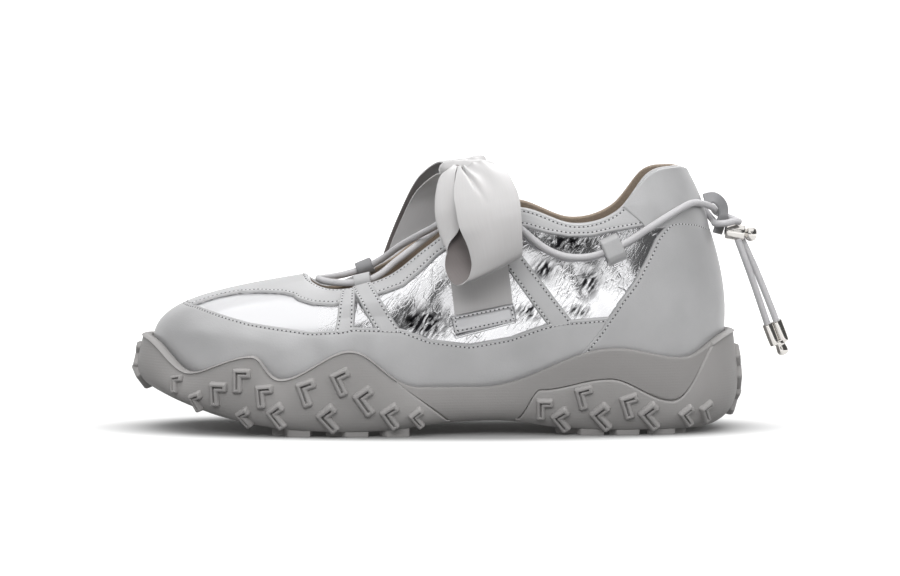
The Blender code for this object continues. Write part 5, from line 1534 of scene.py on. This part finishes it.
bow_rungs = smooth_path(np.array(BOW_RUNGS).reshape(-1, 9), 9).reshape(-1, 3, 3)
for node, rungs in (("bow_loop_outer", bow_rungs), ("bow_loop_inner", rungs_of(INNER_LOOP))):
    c = np.linspace(0, 1, LOOP_COLUMNS)[None, :, None]
    toe, pull, heel = (rungs[:, None, k] for k in range(3))
    points = (1 - c) ** 2 * toe + 2 * c * (1 - c) * pull + c**2 * heel
    far = run_length(points[:, LOOP_COLUMNS // 2])
    length = far[-1]
    near = np.minimum(far, length - far)
    face = np.cross(np.gradient(points, axis=1), np.gradient(points, axis=0))
    face /= np.linalg.norm(face, axis=2, keepdims=True)
    pleats = np.cos(np.linspace(-1, 1, LOOP_COLUMNS) * 3.4 * math.pi + 0.6) * PLEAT_DEPTH
    lift = pleats * np.exp(-near / PLEAT_REACH)[:, None]
    if node == "bow_loop_outer":
        back = (length - far)[:, None] / FOLD_REACH
        beside = (c[..., 0] - FOLD_START - FOLD_SLANT * back) * RIBBON_WIDTH
        deep = FOLD_DEPTH * np.exp(-((beside / (0.7 + 0.6 * back)) ** 2)) * np.clip(1.25 - back, 0, 1)
        hollow = np.exp(-(((beside - HOLLOW_PLACE) / HOLLOW_WIDTH) ** 2)) * np.clip(1.4 - back, 0, 1)
        lift = lift - deep - FOLD_HOLLOW * hollow
    points = points + face * lift[..., None]
    sheet = grid_sheet(f"{node}_satin", points)
    finish_ribbon(sheet, length, node)
    print(node, round(length), "mm")

angle = np.linspace(0, math.tau, 73)
share = np.linspace(-1, 1, 49)
swell = np.maximum(0.0, 1 - share**4) ** 0.5
long, wide, high = (size / 2 for size in KNOT_SIZE)
gather = 1 + KNOT_GATHER * np.cos(share * 15 + 0.8)[:, None] * (1 + 0.5 * np.cos(angle + 1))
knot_points = np.stack(
    [
        np.repeat(share[:, None] * long, len(angle), axis=1),
        np.cos(angle) * wide * swell[:, None] * gather,
        np.sin(angle) * high * swell[:, None] * gather,
    ],
    axis=2,
)
knot = grid_sheet("bow_knot_satin", knot_points + np.array(KNOT_CENTRE))
map_ribbon(knot, *KNOT_MAP)
weld(knot)
settle(knot, "ribbon", (satin_face,), "bow_knot", angle=60)

# %% [markdown]
# The ribbon's foot is held by a foil patch that is sewn on all its edges, over a narrow foil piping.

# %% Ribbon patches and piping
PIPING = ((7.0, 42.7), (33.0, 49.5))
PIPING_WIDTH = 1.7
PATCH_SEAM_INSET = 1.2
patch_way = np.subtract(PATCH_HIGH, PATCH_LOW)
patch_side = np.array((patch_way[1], -patch_way[0])) / np.linalg.norm(patch_way) * PATCH_WIDTH / 2
pipe_way = np.subtract(PIPING[1], PIPING[0])
pipe_up = np.array((-pipe_way[1], pipe_way[0])) / np.linalg.norm(pipe_way) * PIPING_WIDTH / 2
for side, inner in SIDES:
    foot, head = ((np.array(end) - patch_side, np.array(end) + patch_side) for end in (PATCH_LOW, PATCH_HIGH))
    u, t = straight_grid(foot, head, inner, 24)
    edges = ("low", "high", "start", "end")
    patch = leather(
        f"ribbon_patch_foil_{side}", u, t, edges, edges,
        rest=PATCH_LIFT - GAP, thick=1.0, inset=PATCH_SEAM_INSET,
    )
    low, high = ([np.array(p) + pipe_up * s for p in PIPING] for s in (-1, 1))
    u, t = straight_grid(low, high, inner, 9)
    piping = leather(f"piping_{side}", u, t, edges, (), rest=1.2, thick=1.6)
    patch.data.materials.append(smooth_foil)
    piping.data.materials.append(foil)
    only(patch)
    piping.select_set(True)
    bpy.ops.object.join()
    settle(patch, "silver_leather", (), f"ribbon_patch_{side}")

# %% [markdown]
# Every seam is a row of stitches, 1.9 mm apart. A stitch is a small rounded bar that dips into a
# needle hole at each end, and a needle hole is a flat dark disc: painted shade, for the shade inside
# the hole. One stitch and one disc are modelled and copied along the kept rows, with a few dozen faces
# each because there are over a thousand of them.

# %% Stitches
STITCH_PITCH = 1.9
STITCH = np.array((1.35, 0.5, 0.36))
HOLE = np.array((0.85, 0.72, 0.3))


def small_ball(segments, rings):
    bpy.ops.object.select_all(action="DESELECT")
    bpy.ops.mesh.primitive_uv_sphere_add(segments=segments, ring_count=rings, radius=0.5 * MM)
    return read_model(bpy.context.object)


bar, hole = small_ball(8, 6), small_ball(8, 4)
stitches, holes = [], []
for row in seam_rows:
    length = run_length(on_upper(*row.T))
    count = int(length[-1] // STITCH_PITCH)
    for copies, model, size, offset in ((stitches, bar, STITCH, 0.5), (holes, hole, HOLE, 0.0)):
        places = (np.arange(count) + offset) * STITCH_PITCH
        u, t, lift = (np.interp(places, length, row[:, k]) for k in range(3))
        point = on_upper(u, t, lift + 0.05)
        normal = on_upper(u, t, lift + 1.05) - point
        ahead = np.gradient(point, axis=0) if count > 1 else np.ones_like(point)
        ahead -= normal * (ahead * normal).sum(axis=1, keepdims=True)
        ahead /= np.linalg.norm(ahead, axis=1, keepdims=True)
        beside = np.cross(normal, ahead)
        copies += [(model, p, (a, b, n), size) for p, a, b, n in zip(point, ahead, beside, normal)]
seams = add_copies("seam_stitches", stitches)
settle(seams, "grey_leather", (thread,), angle=80)
hole_painted_shades = add_copies("needle_hole_painted_shade", holes)
settle(hole_painted_shades, "grey_leather", (needle_painted_shade,), angle=80)
print(len(stitches), "stitches")

# %% [markdown]
# The shoe stands on a pale floor in soft studio light: a wide box over it, and fill from the front,
# the toe, the heel and the back. The floor glows round the shoe, as a lit studio floor burns out to
# white, but not under it, and a lit wall stands far behind. So much white would light the sole from
# below, so the floor is left out of diffuse bounces, and the lower half of the room gives a weak light
# in its place. The foil mirrors the room, so the room is dim but for five panels that show only in
# gloss.

# %% Floor, light and room
WALL_PLACE = 4000.0
WALL_HEIGHT = 3000.0
ROOM_HALF = 9000.0
FOOTPRINT = (0.145, 0.055)
# The room's brightness from the horizon up: (height, tone)
ROOM_TONES = ((0.0, 0.35), (0.04, 0.16), (0.58, 0.16), (0.72, 0.36), (1.0, 0.4))
ROOM_STRENGTH = 0.6
floor_paint, tree, shader, place = new_finish("white_floor_paint", "#A8A8A8", 0.8)
shader["Emission Color"].default_value = colour("#FFFFFF")
footprint = add_node(
    tree, "Mapping", {"Vector": place, "Scale": (1 / FOOTPRINT[0], 1 / FOOTPRINT[1], 1.0)}
)
glow = 0.0
for start, (near, far), full in ((place, (0.14, 0.5), 1.0), (footprint.outputs[0], (0.8, 1.15), 0.6)):
    away = add_node(tree, "VectorMath", {0: start}, operation="LENGTH")
    ease = add_node(
        tree, "MapRange",
        {"Value": away.outputs["Value"], "From Min": near, "From Max": far, "To Min": 0.0, "To Max": full},
        interpolation_type="SMOOTHSTEP",
    )
    glow = add_node(tree, "Math", {0: ease.outputs[0], 1: glow}, operation="MAXIMUM").outputs[0]
tree.links.new(glow, shader["Emission Strength"])
room_sides = (-ROOM_HALF, ROOM_HALF)
floor_corners = [[(x, y, 0.0) for x in room_sides] for y in (-ROOM_HALF, WALL_PLACE)]
wall_corners = [[(x, WALL_PLACE, z) for x in room_sides] for z in (0.0, WALL_HEIGHT)]
floor = grid_sheet("studio_floor", np.array(floor_corners))
back_wall = grid_sheet("studio_wall", np.array(wall_corners))
floor.visible_diffuse = False
for stage in (floor, back_wall):
    stage.data.materials.append(floor_paint)

# Place, target, size and power of each light, and whether it lights cloth and shows in the foil
LIGHTS = (
    ("top_box", (0.0, -0.25, 1.9), (0.0, 0.0, 0.0), (3.6, 2.6), 30.0, True, True),
    ("front_fill", (-0.2, -2.2, 1.3), (0.0, 0.0, 0.05), (2.0, 0.9), 37.0, True, False),
    ("toe_fill", (-0.35, -0.2, 1.6), (-0.1, 0.0, 0.05), (1.2, 1.0), 8.0, True, False),
    ("heel_fill", (2.0, -0.9, 0.9), (0.0, 0.0, 0.05), (1.0, 0.9), 15.0, True, False),
    ("back_fill", (0.6, 1.9, 1.3), (0.0, 0.0, 0.05), (1.4, 0.9), 8.0, True, True),
    ("front_panel", (0.1, -2.0, 0.38), (0.0, 0.0, 0.05), (0.95, 0.6), 1.7, False, True),
    ("heel_panel", (0.5, -1.94, 1.2), (0.05, 0.0, 0.07), (0.38, 0.8), 0.9, False, True),
    ("end_panel", (-1.75, -0.2, 1.3), (-0.1, 0.0, 0.05), (1.4, 1.1), 4.5, False, True),
    ("back_panel", (-0.2, 1.6, 1.9), (-0.05, 0.0, 0.05), (2.4, 1.4), 8.5, False, True),
    ("toe_panel", (-1.15, -1.65, 1.15), (0.0, 0.0, 0.05), (1.8, 1.1), 6.0, False, True),
)
for name, place, target, (wide, high), power, soft, shiny in LIGHTS:
    lamp = bpy.data.lights.new(name, "AREA")
    lamp.shape = "RECTANGLE"
    lamp.size, lamp.size_y, lamp.energy = wide, high, power
    holder = bpy.data.objects.new(name, lamp)
    holder.location = place
    holder.visible_camera = False
    holder.visible_diffuse = soft
    holder.visible_glossy = shiny
    holder.rotation_euler = (Vector(target) - Vector(place)).to_track_quat("-Z", "Y").to_euler()
    bpy.context.scene.collection.objects.link(holder)
room = bpy.data.worlds.new("studio_room")
room.use_nodes = True
tree = room.node_tree
way = add_node(tree, "TexCoord")
up = add_node(tree, "SeparateXYZ", {"Vector": way.outputs["Generated"]})
ramp = add_node(tree, "ValToRGB", {"Fac": up.outputs["Z"]})
while len(ramp.color_ramp.elements) < len(ROOM_TONES):
    ramp.color_ramp.elements.new(0.5)
for element, (place, value) in zip(ramp.color_ramp.elements, ROOM_TONES):
    element.position = place
    element.color = (value, value, value, 1.0)
tree.links.new(ramp.outputs[0], tree.nodes["Background"].inputs["Color"])
tree.nodes["Background"].inputs["Strength"].default_value = ROOM_STRENGTH
bpy.context.scene.world = room
bpy.context.scene.view_settings.view_transform = "Standard"
print("lights:", [row[0] for row in LIGHTS])
